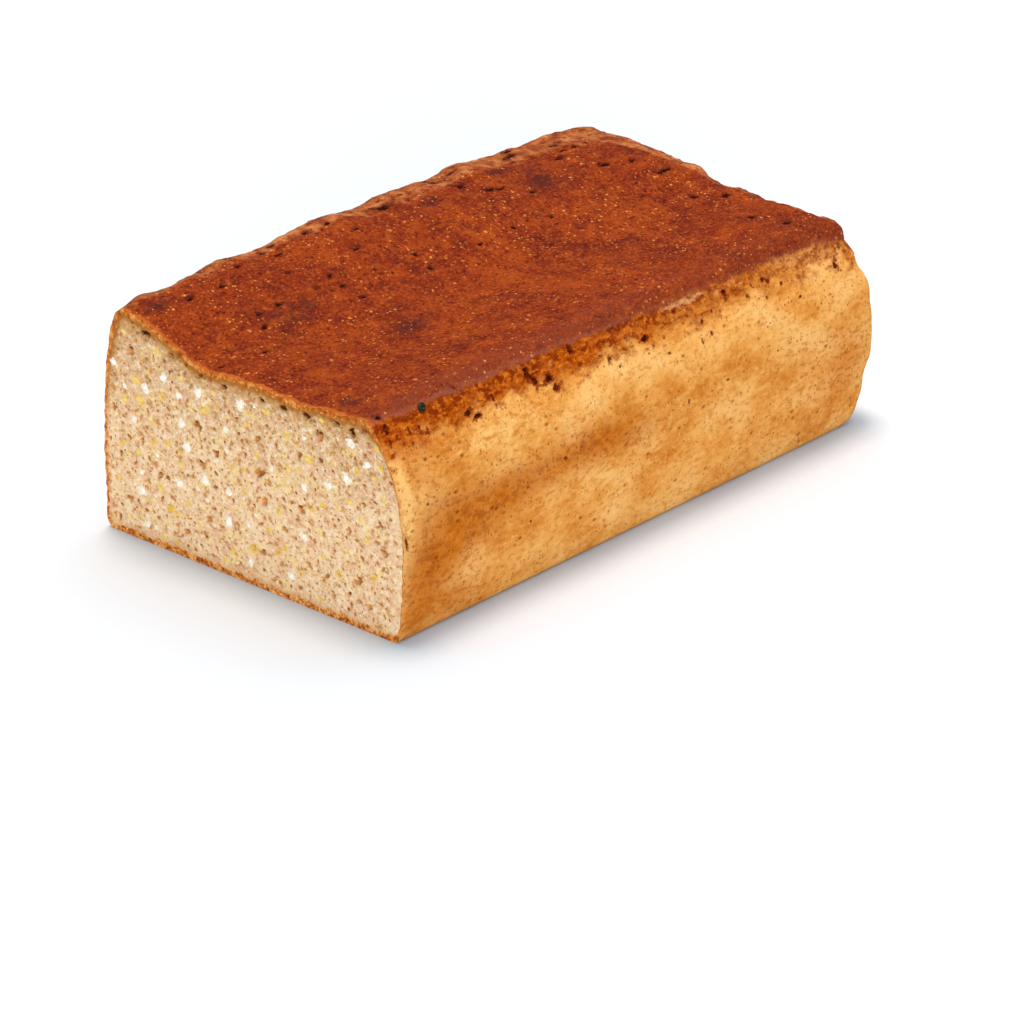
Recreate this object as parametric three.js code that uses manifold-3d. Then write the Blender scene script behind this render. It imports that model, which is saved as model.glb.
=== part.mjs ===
// A seeded multigrain loaf, baked in a straight tin and cut square across at its front end.
// It rests on its flat base. +X runs from the cut face to the baked end, the long golden
// side faces -Y, and +Z is up. All sizes are in millimetres.

import * as THREE from 'three';
import { mergeVertices } from 'three/addons/utils/BufferGeometryUtils.js';
import Module from 'manifold-3d';

// Baked body: its base, and walls that swell out over the base and then lean in
const BASE_LENGTH = 220;
const BASE_WIDTH = 121.5;
const FULL_HEIGHT = 75;
const NEAR_WALL = { belly: 3, lean: 10.5 };
const FAR_WALL = { belly: 1.2, lean: 7.5 };
const END_WALL = { belly: 5, lean: 8.5 };
const END_WALL_REACH = 45;

// Top crust: a sunken middle between a near shoulder and a higher far ridge
const MIDDLE = { cut: 65.4, end: 69.2 };
const SHOULDER = { cut: 68.2, end: 70.6 };
const SHOULDER_WAVE = 1.5;
const SHOULDER_REACH = 0.4;
const RIDGE = { cut: 75, end: 76 };
const RIDGE_ARCH = 2;
const RIDGE_FOOT = { cut: 0.62, end: 0.22 };
const RIDGE_CREST = { cut: 0.98, end: 0.85 };

// Rounded edges: crisp along the sides, and softer over the last stretch before the end
const BASE_EDGE_RADIUS = 2.2;
const TOP_EDGE_RADIUS = 3.2;
const END_EDGE_RADIUS = 7.5;
const END_EDGE_REACH = 24;

// Steps of the body's mesh, which crowd together towards its edges
const STEPS = { along: 35, across: 25, up: 22 };
const CROWDING = 0.72;

// The body starts out too long at the front and a little too deep, and is then trimmed
const FRONT_TRIM = 12;
const BASE_TRIM = 0.5;

// Low lumps and dents in each baked face, which die out at the base
const CRAG_SEED = 11;
const CRAGS = [
  { face: 'end', count: 90, radius: [3.5, 7], height: [-1.8, 1.8] },
  { face: 'post', count: 12, radius: [3, 5.5], height: [-1.6, 1.3] },
  { face: 'brim', count: 14, radius: [4, 7], height: [-1, 1] },
  { face: 'top', count: 90, radius: [7, 15], height: [-0.8, 0.8] },
  { face: 'ridge', count: 30, radius: [4.5, 9], height: [-0.9, 1.1] },
  { face: 'near', count: 40, radius: [10, 20], height: [-0.5, 0.5] },
  { face: 'far', count: 40, radius: [10, 20], height: [-0.5, 0.5] },
];
const CRAG_FREE_HEIGHT = 9;
const RIDGE_BAND = 12;

// Knobs and notches of the near upright edge at the baked end, at a height above the base
const KNOBS = [
  { up: 69.5, radius: 5, height: 2.4 },
  { up: 54.5, radius: 3, height: -1.6 },
  { up: 44.5, radius: 4, height: -2.6 },
  { up: 34.5, radius: 4, height: -0.5 },
  { up: 19, radius: 6.5, height: -1.9 },
  { up: 7.5, radius: 4, height: -0.8 },
];

// Rises and dips of the far ridge and of the end's top edge, at shares of their face
const EDGE_KNOBS = [
  { face: 'ridge', along: 0.08, over: 0.15, radius: 9, height: -1.3 },
  { face: 'ridge', along: 0.2, over: 0.15, radius: 10, height: 1.4 },
  { face: 'ridge', along: 0.31, over: 0.15, radius: 12, height: 1.2 },
  { face: 'ridge', along: 0.77, over: 0.15, radius: 14, height: -1.5 },
  { face: 'ridge', along: 0.965, over: 0.1, radius: 9, height: 0.9 },
  { face: 'end', along: 0.525, over: 1, radius: 6, height: 1.8 },
];

// The clearest pits torn in the crust, under the brown top edge of the near side and along
// the far ridge: distance from the cut, height or place across, and half sizes
const PIT_DEPTH = 0.8;
const NEAR_PITS = [
  { x: 4.2, up: 64.4, wide: 0.9, tall: 1.5 },
  { x: 36.0, up: 60.1, wide: 1.4, tall: 0.9 },
  { x: 38.6, up: 58.4, wide: 1.7, tall: 0.8 },
  { x: 63.1, up: 63.0, wide: 1.5, tall: 1.7 },
  { x: 65.3, up: 60.6, wide: 1.2, tall: 1.6 },
  { x: 70.7, up: 59.6, wide: 1.8, tall: 1.1 },
  { x: 72.6, up: 56.9, wide: 1.0, tall: 1.3 },
  { x: 83.1, up: 64.4, wide: 0.9, tall: 1.4 },
  { x: 114.2, up: 58.9, wide: 1.4, tall: 1.0 },
  { x: 153.4, up: 61.5, wide: 0.8, tall: 1.6 },
  { x: 171.3, up: 60.6, wide: 0.9, tall: 1.0 },
  { x: 205.2, up: 55.9, wide: 1.2, tall: 1.4 },
];
const TOP_PITS = [
  { x: 105.8, across: 43.6, wide: 2.1, tall: 1.5 },
  { x: 131.3, across: 48.5, wide: 1.7, tall: 1.1 },
  { x: 134.4, across: 37.3, wide: 1.4, tall: 1.0 },
  { x: 167.0, across: 45.7, wide: 2.2, tall: 0.9 },
  { x: 178.0, across: 34.5, wide: 2.3, tall: 0.9 },
  { x: 185.9, across: 20.6, wide: 1.5, tall: 1.0 },
  { x: 205.0, across: 6.5, wide: 2.2, tall: 1.0 },
  { x: 208.0, across: -16.4, wide: 1.8, tall: 0.9 },
  { x: 201.2, across: -45.1, wide: 1.8, tall: 0.9 },
];
const PLACE_STEPS = 6;

// The far side and the end have drawn pits of the same kind
const PIT_SEED = 23;
const PIT_WIDTH = [0.65, 1];
const DRAWN_PITS = [
  { face: 'end', count: 8, along: [0.1, 0.9], over: [0.3, 0.85], radius: [0.9, 1.6] },
  { face: 'far', count: 14, along: [0.05, 0.95], over: [0.6, 0.9], radius: [0.9, 1.6] },
];

// The cut face: torn gaps under the top crust, air pores, whole white grains and yellow grits,
// with the clearest of them by their place across and up
const CRUMB_SEED = 5;
const CRUST_THICKNESS = 3;
const CRUMB_MARGIN = 3.2;
const ITEM_GAP = 1.3;
const SPREAD_TRIES = 16;
const CLEAR_ITEMS = [
  { kind: 'pore', across: 20.5, up: 45.5, radius: 2.1 },
  { kind: 'pore', across: 13, up: 38.5, radius: 1.7 },
  { kind: 'pore', across: 19, up: 33, radius: 1.7 },
  { kind: 'pore', across: -5, up: 37.5, radius: 2.1 },
  { kind: 'pore', across: -7, up: 29, radius: 1.9 },
  { kind: 'pore', across: -30.5, up: 57, radius: 1.8 },
  { kind: 'pore', across: 48, up: 61.5, radius: 1.9 },
  { kind: 'pore', across: -22, up: 31, radius: 1.6 },
  { kind: 'pore', across: 50.5, up: 12.5, radius: 1.6 },
  { kind: 'pore', across: -45.5, up: 15.5, radius: 1.6 },
  { kind: 'pore', across: -55.5, up: 27.5, radius: 1.4 },
  { kind: 'grain', across: 55.5, up: 56, radius: 1.2 },
  { kind: 'grain', across: 42, up: 51, radius: 1.4 },
  { kind: 'grain', across: 19.5, up: 56, radius: 1.3 },
  { kind: 'grain', across: 2, up: 57.5, radius: 1.5 },
  { kind: 'grain', across: 27, up: 44, radius: 1.2 },
  { kind: 'grain', across: 25, up: 37, radius: 1.5 },
  { kind: 'grain', across: -43, up: 58.5, radius: 1.4 },
  { kind: 'grain', across: -49, up: 53.5, radius: 1.1 },
  { kind: 'grain', across: -41, up: 46.5, radius: 1.5 },
  { kind: 'grain', across: -33.5, up: 42.5, radius: 1.2 },
  { kind: 'grain', across: 17.5, up: 28.5, radius: 1.4 },
  { kind: 'grain', across: 28.5, up: 24, radius: 1.3 },
  { kind: 'grain', across: 45, up: 16.5, radius: 1.3 },
  { kind: 'grain', across: 8, up: 17.5, radius: 1.4 },
];
const CRUMB_ITEMS = [
  { kind: 'gap', count: 10, radius: [1.4, 2.6], flatness: 0.4, depth: 1.3 },
  { kind: 'pore', count: 20, radius: [1.05, 1.5], flatness: 0.62, depth: 1.1 },
  { kind: 'grain', count: 12, radius: [0.85, 1.2], flatness: 0.84, proud: 0.4 },
  { kind: 'grit', count: 36, radius: [0.8, 1.25], flatness: 0.62, proud: 0.35 },
  { kind: 'pore', count: 34, radius: [0.7, 1.0], flatness: 0.62, depth: 0.9 },
];
const GRAIN_THICKNESS = 1.4;
const GRAIN_OUTSET = 0.4;

// Colour and roughness of the crust, which covers most of the loaf
const CRUST_COLOUR = new THREE.Color().setRGB(0.72, 0.44, 0.17, THREE.SRGBColorSpace);
const CRUST_ROUGHNESS = 0.75;

const wasm = await Module();
wasm.setup();

// A seeded draw between 0 and 1, the same on every run
function seededDraw(seed) {
  let state = seed >>> 0;
  return () => {
    state = (Math.imul(state, 1664525) + 1013904223) >>> 0;
    return state / 4294967296;
  };
}

function between(draw, [low, high]) {
  return low + (high - low) * draw();
}

function mix(from, to, share) {
  return from + (to - from) * share;
}

function smoothStep(start, end, value) {
  const t = THREE.MathUtils.clamp((value - start) / (end - start), 0, 1);
  return t * t * (3 - 2 * t);
}

// Height of the top crust at a place, with across from 0 at the near side to 1 at the far
function topHeight(x, across) {
  const along = THREE.MathUtils.clamp(x / BASE_LENGTH, 0, 1);
  const middle = mix(MIDDLE.cut, MIDDLE.end, along);
  const wave = SHOULDER_WAVE * Math.sin(2 * Math.PI * along);
  const shoulder = mix(SHOULDER.cut, SHOULDER.end, along) + wave;
  const ridge = mix(RIDGE.cut, RIDGE.end, along) + RIDGE_ARCH * Math.sin(Math.PI * along);
  const foot = mix(RIDGE_FOOT.cut, RIDGE_FOOT.end, along);
  const crest = mix(RIDGE_CREST.cut, RIDGE_CREST.end, along);
  const shoulderShare = 1 - smoothStep(0, SHOULDER_REACH, across);
  const ridgeShare = smoothStep(foot, crest, across);
  return middle + (shoulder - middle) * shoulderShare + (ridge - middle) * ridgeShare;
}

// How far a wall stands out from the base at a share of the full height
function wallSwell(share, { belly, lean }) {
  return belly * Math.sin(Math.PI * share) - lean * share ** 4;
}

// The same for a place between the two long walls, as a share of the half width
function sideSwell(share, across) {
  const swell = mix(wallSwell(share, NEAR_WALL), wallSwell(share, FAR_WALL), across);
  return swell / (BASE_WIDTH / 2);
}

// Rounds the edges of the plain box at a point on it, and tells which way that point faces
function roundedBox(boxPoint) {
  const nearEnd = smoothStep(BASE_LENGTH - END_EDGE_REACH, BASE_LENGTH, boxPoint.x);
  const radius = mix(TOP_EDGE_RADIUS, END_EDGE_RADIUS, nearEnd);
  const upRadius = boxPoint.z > FULL_HEIGHT / 2 ? radius : BASE_EDGE_RADIUS;
  const radii = new THREE.Vector3(radius, radius, upRadius);
  const halfWidth = BASE_WIDTH / 2 - radius;
  const inner = new THREE.Vector3(
    Math.min(boxPoint.x, BASE_LENGTH - radius),
    THREE.MathUtils.clamp(boxPoint.y, -halfWidth, halfWidth),
    THREE.MathUtils.clamp(boxPoint.z, BASE_EDGE_RADIUS - BASE_TRIM, FULL_HEIGHT - radius),
  );
  const outward = boxPoint.clone().sub(inner).divide(radii).normalize();
  return { rounded: inner.add(radii.multiply(outward)), outward };
}

// Gives the rounded box its swelling walls and its uneven top, still without crags
function bakedPoint(boxPoint) {
  const { rounded, outward } = roundedBox(boxPoint);
  const share = rounded.z / FULL_HEIGHT;
  const across = rounded.y / BASE_WIDTH + 0.5;
  const endShare = smoothStep(BASE_LENGTH - END_WALL_REACH, BASE_LENGTH, rounded.x);
  const point = new THREE.Vector3(
    rounded.x + wallSwell(share, END_WALL) * endShare,
    rounded.y * (1 + sideSwell(share, across)),
    share * topHeight(rounded.x, across),
  );
  return { point, outward };
}

// A point on one face of the plain box, both places given as shares of the face
function onFace(face, along, over) {
  const halfWidth = BASE_WIDTH / 2;
  const x = along * BASE_LENGTH;
  const places = {
    end: [BASE_LENGTH, mix(-halfWidth, halfWidth, along), over * FULL_HEIGHT],
    post: [BASE_LENGTH, -halfWidth, over * FULL_HEIGHT],
    brim: [0, mix(-halfWidth, halfWidth, over), FULL_HEIGHT],
    top: [x, mix(-halfWidth, halfWidth, over), FULL_HEIGHT],
    ridge: [x, halfWidth - over * RIDGE_BAND, FULL_HEIGHT],
    near: [x, -halfWidth, over * FULL_HEIGHT],
    far: [x, halfWidth, over * FULL_HEIGHT],
  };
  return new THREE.Vector3(...places[face]);
}

function makeCrags() {
  const draw = seededDraw(CRAG_SEED);
  const drawn = CRAGS.flatMap(({ face, count, radius, height }) =>
    Array.from({ length: count }, () => ({
      centre: bakedPoint(onFace(face, draw(), draw())).point,
      radius: between(draw, radius),
      height: between(draw, height),
    })),
  );
  const knobs = KNOBS.map(({ up, radius, height }) => ({
    centre: bakedPoint(onFace('post', 0, up / FULL_HEIGHT)).point,
    radius,
    height,
  }));
  const edgeKnobs = EDGE_KNOBS.map(({ face, along, over, radius, height }) => ({
    centre: bakedPoint(onFace(face, along, over)).point,
    radius,
    height,
  }));
  return [...drawn, ...knobs, ...edgeKnobs];
}

const crags = makeCrags();

// The loaf's surface at a point of the plain box, crags included
function loafPoint(boxPoint) {
  const { point, outward } = bakedPoint(boxPoint);
  let relief = 0;
  for (const { centre, radius, height } of crags) {
    relief += height * Math.exp(-centre.distanceToSquared(point) / radius ** 2);
  }
  const free = smoothStep(0, CRAG_FREE_HEIGHT, point.z);
  return { point: point.addScaledVector(outward, relief * free), outward };
}

// Geometry to solid and back, for the cuts and joins
function toSolid(geometry) {
  const bare = geometry.clone();
  bare.deleteAttribute('normal');
  bare.deleteAttribute('uv');
  const merged = mergeVertices(bare, 1e-4);
  const mesh = new wasm.Mesh({
    numProp: 3,
    vertProperties: new Float32Array(merged.attributes.position.array),
    triVerts: new Uint32Array(merged.index.array),
  });
  return new wasm.Manifold(mesh);
}

function toGeometry(solid) {
  const { vertProperties, triVerts } = solid.getMesh();
  const geometry = new THREE.BufferGeometry();
  geometry.setAttribute('position', new THREE.BufferAttribute(vertProperties, 3));
  geometry.setIndex(new THREE.BufferAttribute(triVerts, 1));
  return geometry;
}

// Steps from 0 to 1 that crowd together towards 1
function crowded(share) {
  const quarter = (CROWDING * Math.PI) / 2;
  return Math.sin(share * quarter) / Math.sin(quarter);
}

// A box of steps, each vertex of it moved to its place on the loaf
function makeBody() {
  const box = new THREE.BoxGeometry(2, 2, 2, STEPS.along, STEPS.across, STEPS.up);
  const position = box.attributes.position;
  for (let i = 0; i < position.count; i += 1) {
    const boxPoint = new THREE.Vector3(
      mix(-FRONT_TRIM, BASE_LENGTH, crowded((position.getX(i) + 1) / 2)),
      (crowded(position.getY(i)) * BASE_WIDTH) / 2,
      mix(-BASE_TRIM, FULL_HEIGHT, (crowded(position.getZ(i)) + 1) / 2),
    );
    const { point } = loafPoint(boxPoint);
    position.setXYZ(i, point.x, point.y, point.z);
  }
  return toSolid(box);
}

// The blocks that are taken away in front of the cut and under the flat base
function makeTrimBlocks() {
  const size = 2 * BASE_LENGTH;
  const box = new THREE.BoxGeometry(size, size, size);
  const front = toSolid(box.clone().translate(-size / 2, 0, 0));
  const under = toSolid(box.translate(0, 0, -size / 2));
  return front.add(under);
}

// A lump of few faces with its own half sizes, turned and set in place
function makeLump(halfSizes, turn, place) {
  const lump = new THREE.IcosahedronGeometry(1, 0);
  const matrix = new THREE.Matrix4().compose(place, turn, halfSizes);
  return toSolid(lump.applyMatrix4(matrix));
}

// The points of the plain box behind a place on the near wall and behind one on the top
function nearBoxPoint({ x, up }) {
  return new THREE.Vector3(x, -BASE_WIDTH / 2, (FULL_HEIGHT * up) / topHeight(x, 0));
}

function topBoxPoint({ x, across }) {
  let y = across;
  for (let i = 0; i < PLACE_STEPS; i += 1) {
    y = across / (1 + sideSwell(1, y / BASE_WIDTH + 0.5));
  }
  return new THREE.Vector3(x, y, FULL_HEIGHT);
}

// A bowl sunk in the skin at a point of the plain box, as deep as its narrow half size allows
function makePit(boxPoint, wide, tall) {
  const { point, outward } = loafPoint(boxPoint);
  const halfSizes = new THREE.Vector3(wide, tall, PIT_DEPTH * Math.min(wide, tall));
  const turn = new THREE.Quaternion().setFromUnitVectors(new THREE.Vector3(0, 0, 1), outward);
  return makeLump(halfSizes, turn, point);
}

function makePits() {
  const draw = seededDraw(PIT_SEED);
  const pits = [
    ...NEAR_PITS.map((pit) => makePit(nearBoxPoint(pit), pit.wide, pit.tall)),
    ...TOP_PITS.map((pit) => makePit(topBoxPoint(pit), pit.wide, pit.tall)),
  ];
  for (const { face, count, along, over, radius } of DRAWN_PITS) {
    for (let i = 0; i < count; i += 1) {
      const boxPoint = onFace(face, between(draw, along), between(draw, over));
      const size = between(draw, radius);
      pits.push(makePit(boxPoint, size, size * between(draw, PIT_WIDTH)));
    }
  }
  return wasm.Manifold.union(pits);
}

// Tries a place on the cut face, inside the crumb or, for a gap, just under the top crust
function tryPlace(draw, kind, radius) {
  const across = mix(-1, 1, draw()) * (BASE_WIDTH / 2 - CRUMB_MARGIN - radius);
  const ceiling = topHeight(0, across / BASE_WIDTH + 0.5) - CRUST_THICKNESS - radius;
  const up = kind === 'gap' ? ceiling + radius / 2 : mix(CRUMB_MARGIN + radius, ceiling, draw());
  return { across: across * (1 + sideSwell(up / FULL_HEIGHT, 0.5)), up, radius };
}

// How much free room a place has to the items already there
function freeRoom(place, taken) {
  const rooms = taken.map((other) => {
    const distance = Math.hypot(place.across - other.across, place.up - other.up);
    return distance - ITEM_GAP * (place.radius + other.radius);
  });
  return Math.min(...rooms);
}

// Spreads the crumb's items evenly over the cut face, the largest first
function spreadCrumb() {
  const draw = seededDraw(CRUMB_SEED);
  const items = CLEAR_ITEMS.map((item) => {
    const group = CRUMB_ITEMS.find(({ kind }) => kind === item.kind);
    return { ...group, ...item, turn: draw() };
  });
  for (const group of CRUMB_ITEMS) {
    for (let i = 0; i < group.count; i += 1) {
      const radius = between(draw, group.radius);
      const tries = Array.from({ length: SPREAD_TRIES }, () => tryPlace(draw, group.kind, radius));
      const rooms = tries.map((place) => freeRoom(place, items));
      const best = Math.max(...rooms);
      const turn = group.kind === 'gap' ? 0 : draw();
      if (best > 0) items.push({ ...group, ...tries[rooms.indexOf(best)], turn });
    }
  }
  return items;
}

// Pores and gaps are dents in the cut face, and grains and grits stand slightly proud of it
function crumbLump({ across, up, radius, flatness, depth, proud, turn }) {
  const halfDepth = depth ? radius * depth : proud * GRAIN_THICKNESS;
  const halfSizes = new THREE.Vector3(halfDepth, radius, radius * flatness);
  const rotation = new THREE.Quaternion().setFromAxisAngle(new THREE.Vector3(1, 0, 0), turn * Math.PI);
  const inside = depth ? 0 : proud * GRAIN_OUTSET;
  return makeLump(halfSizes, rotation, new THREE.Vector3(inside, across, up));
}

function makeLoaf() {
  const items = spreadCrumb();
  const dents = items.filter(({ depth }) => depth).map(crumbLump);
  const grains = items.filter(({ proud }) => proud).map(crumbLump);
  const solid = makeBody()
    .subtract(makeTrimBlocks())
    .subtract(makePits())
    .subtract(wasm.Manifold.union(dents))
    .add(wasm.Manifold.union(grains));
  const geometry = toGeometry(solid);
  geometry.computeBoundingBox();
  const centre = geometry.boundingBox.getCenter(new THREE.Vector3());
  return geometry.translate(-centre.x, -centre.y, -geometry.boundingBox.min.z);
}

const crust = new THREE.MeshStandardMaterial({
  color: CRUST_COLOUR,
  roughness: CRUST_ROUGHNESS,
  metalness: 0,
});

const loaf = new THREE.Mesh(makeLoaf(), crust);
loaf.name = 'loaf';

const part = new THREE.Group();
part.add(loaf);

export default part;
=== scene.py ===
# %% [markdown]
# # A seeded multigrain loaf
# A long, low tin loaf with a sunken mahogany top and golden sides, cut square across at
# one end. The solid model already holds its true form, so this lesson gives it a fine
# skin, a grainy cut face and the colours of a real bake. All sizes are in millimetres
# until a mesh is handed to Blender, which wants metres.

# %% Load the solid model
import math

import bmesh
import bpy
import numpy as np
from mathutils import Matrix, Vector, kdtree, noise


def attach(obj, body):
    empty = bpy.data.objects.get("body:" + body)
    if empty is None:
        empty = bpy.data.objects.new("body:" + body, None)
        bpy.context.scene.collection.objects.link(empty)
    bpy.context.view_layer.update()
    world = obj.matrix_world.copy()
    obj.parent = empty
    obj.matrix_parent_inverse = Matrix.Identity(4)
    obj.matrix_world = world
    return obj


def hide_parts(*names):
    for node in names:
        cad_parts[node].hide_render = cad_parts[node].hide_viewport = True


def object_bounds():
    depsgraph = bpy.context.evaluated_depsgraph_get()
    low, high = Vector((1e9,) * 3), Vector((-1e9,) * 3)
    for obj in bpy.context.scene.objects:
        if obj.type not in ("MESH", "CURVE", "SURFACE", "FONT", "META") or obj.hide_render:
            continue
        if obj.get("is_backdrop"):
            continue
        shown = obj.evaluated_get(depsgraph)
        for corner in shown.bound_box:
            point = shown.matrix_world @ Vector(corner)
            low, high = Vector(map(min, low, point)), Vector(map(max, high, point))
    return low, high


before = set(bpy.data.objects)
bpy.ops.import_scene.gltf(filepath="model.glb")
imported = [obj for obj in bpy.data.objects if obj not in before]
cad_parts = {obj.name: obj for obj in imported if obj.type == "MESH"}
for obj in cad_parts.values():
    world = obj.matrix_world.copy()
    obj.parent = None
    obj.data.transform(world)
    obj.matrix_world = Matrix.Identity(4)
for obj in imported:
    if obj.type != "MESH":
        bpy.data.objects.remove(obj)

cad_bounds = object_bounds()
METRES = 0.001  # in a millimetre
print("the solid model is", [round(float(v), 4) for v in cad_bounds[1] - cad_bounds[0]], "metres")

# %% [markdown]
# ## Where the cut lies
# The solid is centred on its outline, while every size of the loaf counts from the cut
# face and from the middle of the base. Both can be read from the lowest vertices of the
# solid: they are the outline of the flat base, whose front edge lies in the cut.

# %% Read the cut and the middle of the base
FLAT = 0.01

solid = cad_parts["loaf"].data
solid_points = np.zeros(len(solid.vertices) * 3)
solid.vertices.foreach_get("co", solid_points)
solid_points = solid_points.reshape(-1, 3) / METRES
base_points = solid_points[solid_points[:, 2] < FLAT]
CUT_X = base_points[:, 0].min()
MIDDLE_Y = (base_points[:, 1].min() + base_points[:, 1].max()) / 2


def to_frame(points):
    """Loaf millimetres, from the cut and the middle of the base, to metres in the frame."""
    return (np.asarray(points) + (CUT_X, MIDDLE_Y, 0.0)) * METRES


print("cut at", round(CUT_X, 2), "mm, middle of the base at", round(MIDDLE_Y, 2), "mm")

# %% [markdown]
# ## Camera, floor and light
# The photograph looks down at the cut corner through a long lens, so the edges hardly
# converge. A wide white floor and an even sky give the clean studio look. The key light
# stands almost straight above, leaning to the far side, and leaves a short shadow along
# the near side. A very wide one from behind the loaf spreads a faint shadow in front of
# the cut, and a low one beside the camera fills both upright faces. The sky and the floor
# are slightly bluish and the lights are warm, so that the golden glow of the crust hardly
# tints the shadow.

# %% Camera
CAMERA_AIM = (-82.9, -77.7, 37.5)
CAMERA_DISTANCE = 1386.8
CAMERA_AZIMUTH = math.radians(-48.126)
CAMERA_ELEVATION = math.radians(25.02)
CAMERA_LENS = 168.75
CAMERA_SENSOR = 36.0
CAMERA_REACH = 20.0

camera_data = bpy.data.cameras.new("camera")
camera_data.lens = CAMERA_LENS
camera_data.sensor_width = CAMERA_SENSOR
camera = bpy.data.objects.new("camera", camera_data)
bpy.context.collection.objects.link(camera)
towards_camera = Vector((
    math.sin(CAMERA_AZIMUTH) * math.cos(CAMERA_ELEVATION),
    -math.cos(CAMERA_AZIMUTH) * math.cos(CAMERA_ELEVATION),
    math.sin(CAMERA_ELEVATION),
))
camera.location = (Vector(CAMERA_AIM) + towards_camera * CAMERA_DISTANCE) * METRES
camera.rotation_euler = towards_camera.to_track_quat("Z", "Y").to_euler()
camera_data.clip_end = CAMERA_REACH
bpy.context.scene.camera = camera
print("camera at", [round(v, 3) for v in camera.location])

# %% Floor
FLOOR_SIZE = 6.0
FLOOR_TINT = (0.618, 0.655, 0.695)

floor_mesh = bpy.data.meshes.new("floor")
floor_bm = bmesh.new()
bmesh.ops.create_grid(floor_bm, x_segments=2, y_segments=2, size=FLOOR_SIZE / 2)
floor_bm.to_mesh(floor_mesh)
floor_bm.free()
floor = bpy.data.objects.new("floor", floor_mesh)
bpy.context.collection.objects.link(floor)
floor_material = bpy.data.materials.new("white_floor")
floor_material.use_nodes = True
floor_shader = floor_material.node_tree.nodes["Principled BSDF"]
floor_shader.inputs["Base Color"].default_value = (*FLOOR_TINT, 1)
floor_shader.inputs["Roughness"].default_value = 1.0
floor_shader.inputs["Specular IOR Level"].default_value = 0.0
floor_mesh.materials.append(floor_material)
floor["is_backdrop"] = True
print("floor", FLOOR_SIZE, "metres wide")

# %% Sky and three soft lights
SKY_STRENGTH = 0.5
SKY_COLOUR = (0.55, 0.9, 1.15)
LIGHTS = [  # name, direction it comes from, watts per square metre, angle of its disc, colour
    ("key", (0.087, 0.17, 1.0), 2.27, 20.0, (1.08, 0.838, 0.67)),
    ("wide", (0.51, 0.21, 1.0), 2.0, 65.0, (0.9, 0.9, 0.9)),
    ("fill", (-0.72, -0.70, 0.17), 2.1, 30.0, (1.0, 0.865, 0.77)),
]

world = bpy.data.worlds.new("sky")
world.use_nodes = True
world.node_tree.nodes["Background"].inputs["Color"].default_value = (*SKY_COLOUR, 1)
world.node_tree.nodes["Background"].inputs["Strength"].default_value = SKY_STRENGTH
bpy.context.scene.world = world

for name, comes_from, strength, angle, colour in LIGHTS:
    light_data = bpy.data.lights.new(name, "SUN")
    light_data.angle = math.radians(angle)
    light_data.energy = strength
    light_data.color = colour
    light = bpy.data.objects.new(name, light_data)
    bpy.context.collection.objects.link(light)
    light.rotation_euler = Vector(comes_from).to_track_quat("Z", "Y").to_euler()
bpy.context.scene.view_settings.view_transform = "Standard"
print("sky", SKY_STRENGTH, "and", len(LIGHTS), "soft lights")

# %% [markdown]
# ## The form of the loaf
# The skin must lie exactly on the solid, so it is worked out by the same rules. A plain
# box of steps gets rounded edges, then walls that swell and lean in, then an uneven top
# between a near shoulder and a higher far ridge.

# %% Sizes of the baked body
BASE_LENGTH = 220.0
BASE_WIDTH = 121.5
HALF_WIDTH = BASE_WIDTH / 2
FULL_HEIGHT = 75.0
NEAR_WALL = (3.0, 10.5)  # belly and lean
FAR_WALL = (1.2, 7.5)
END_WALL = (5.0, 8.5)
END_WALL_REACH = 45.0
MIDDLE = (65.4, 69.2)  # at the cut and at the end
SHOULDER = (68.2, 70.6)
SHOULDER_WAVE = 1.5
SHOULDER_REACH = 0.4
RIDGE = (75.0, 76.0)
RIDGE_ARCH = 2.0
RIDGE_FOOT = (0.62, 0.22)
RIDGE_CREST = (0.98, 0.85)
BASE_EDGE_RADIUS = 2.2
BASE_TRIM = 0.5
EDGE_RADIUS = (3.2, 7.5)
END_EDGE_REACH = 24.0
print("loaf", BASE_LENGTH, "by", BASE_WIDTH, "by about", RIDGE[1] + RIDGE_ARCH)


# %% Top, walls and edges
def mix(ends, share):
    return ends[0] + (ends[1] - ends[0]) * share


def smooth_step(start, end, value):
    t = np.clip((value - start) / (end - start), 0.0, 1.0)
    return t * t * (3.0 - 2.0 * t)


def top_height(x, across):
    """Height of the top crust, with across from 0 at the near side to 1 at the far."""
    along = np.clip(x / BASE_LENGTH, 0.0, 1.0)
    middle = mix(MIDDLE, along)
    shoulder = mix(SHOULDER, along) + SHOULDER_WAVE * np.sin(2 * np.pi * along)
    ridge = mix(RIDGE, along) + RIDGE_ARCH * np.sin(np.pi * along)
    shoulder_share = 1 - smooth_step(0, SHOULDER_REACH, across)
    ridge_share = smooth_step(mix(RIDGE_FOOT, along), mix(RIDGE_CREST, along), across)
    return middle + (shoulder - middle) * shoulder_share + (ridge - middle) * ridge_share


def wall_swell(share, wall):
    """How far a wall stands out from the base at a share of the full height."""
    belly, lean = wall
    return belly * np.sin(np.pi * share) - lean * share**4


def side_swell(share, across):
    """The same between the two long walls, as a share of the half width."""
    ends = (wall_swell(share, NEAR_WALL), wall_swell(share, FAR_WALL))
    return mix(ends, across) / HALF_WIDTH


print("top of the cut is", round(float(top_height(0.0, 0.5)), 1), "mm high in its middle")


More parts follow.
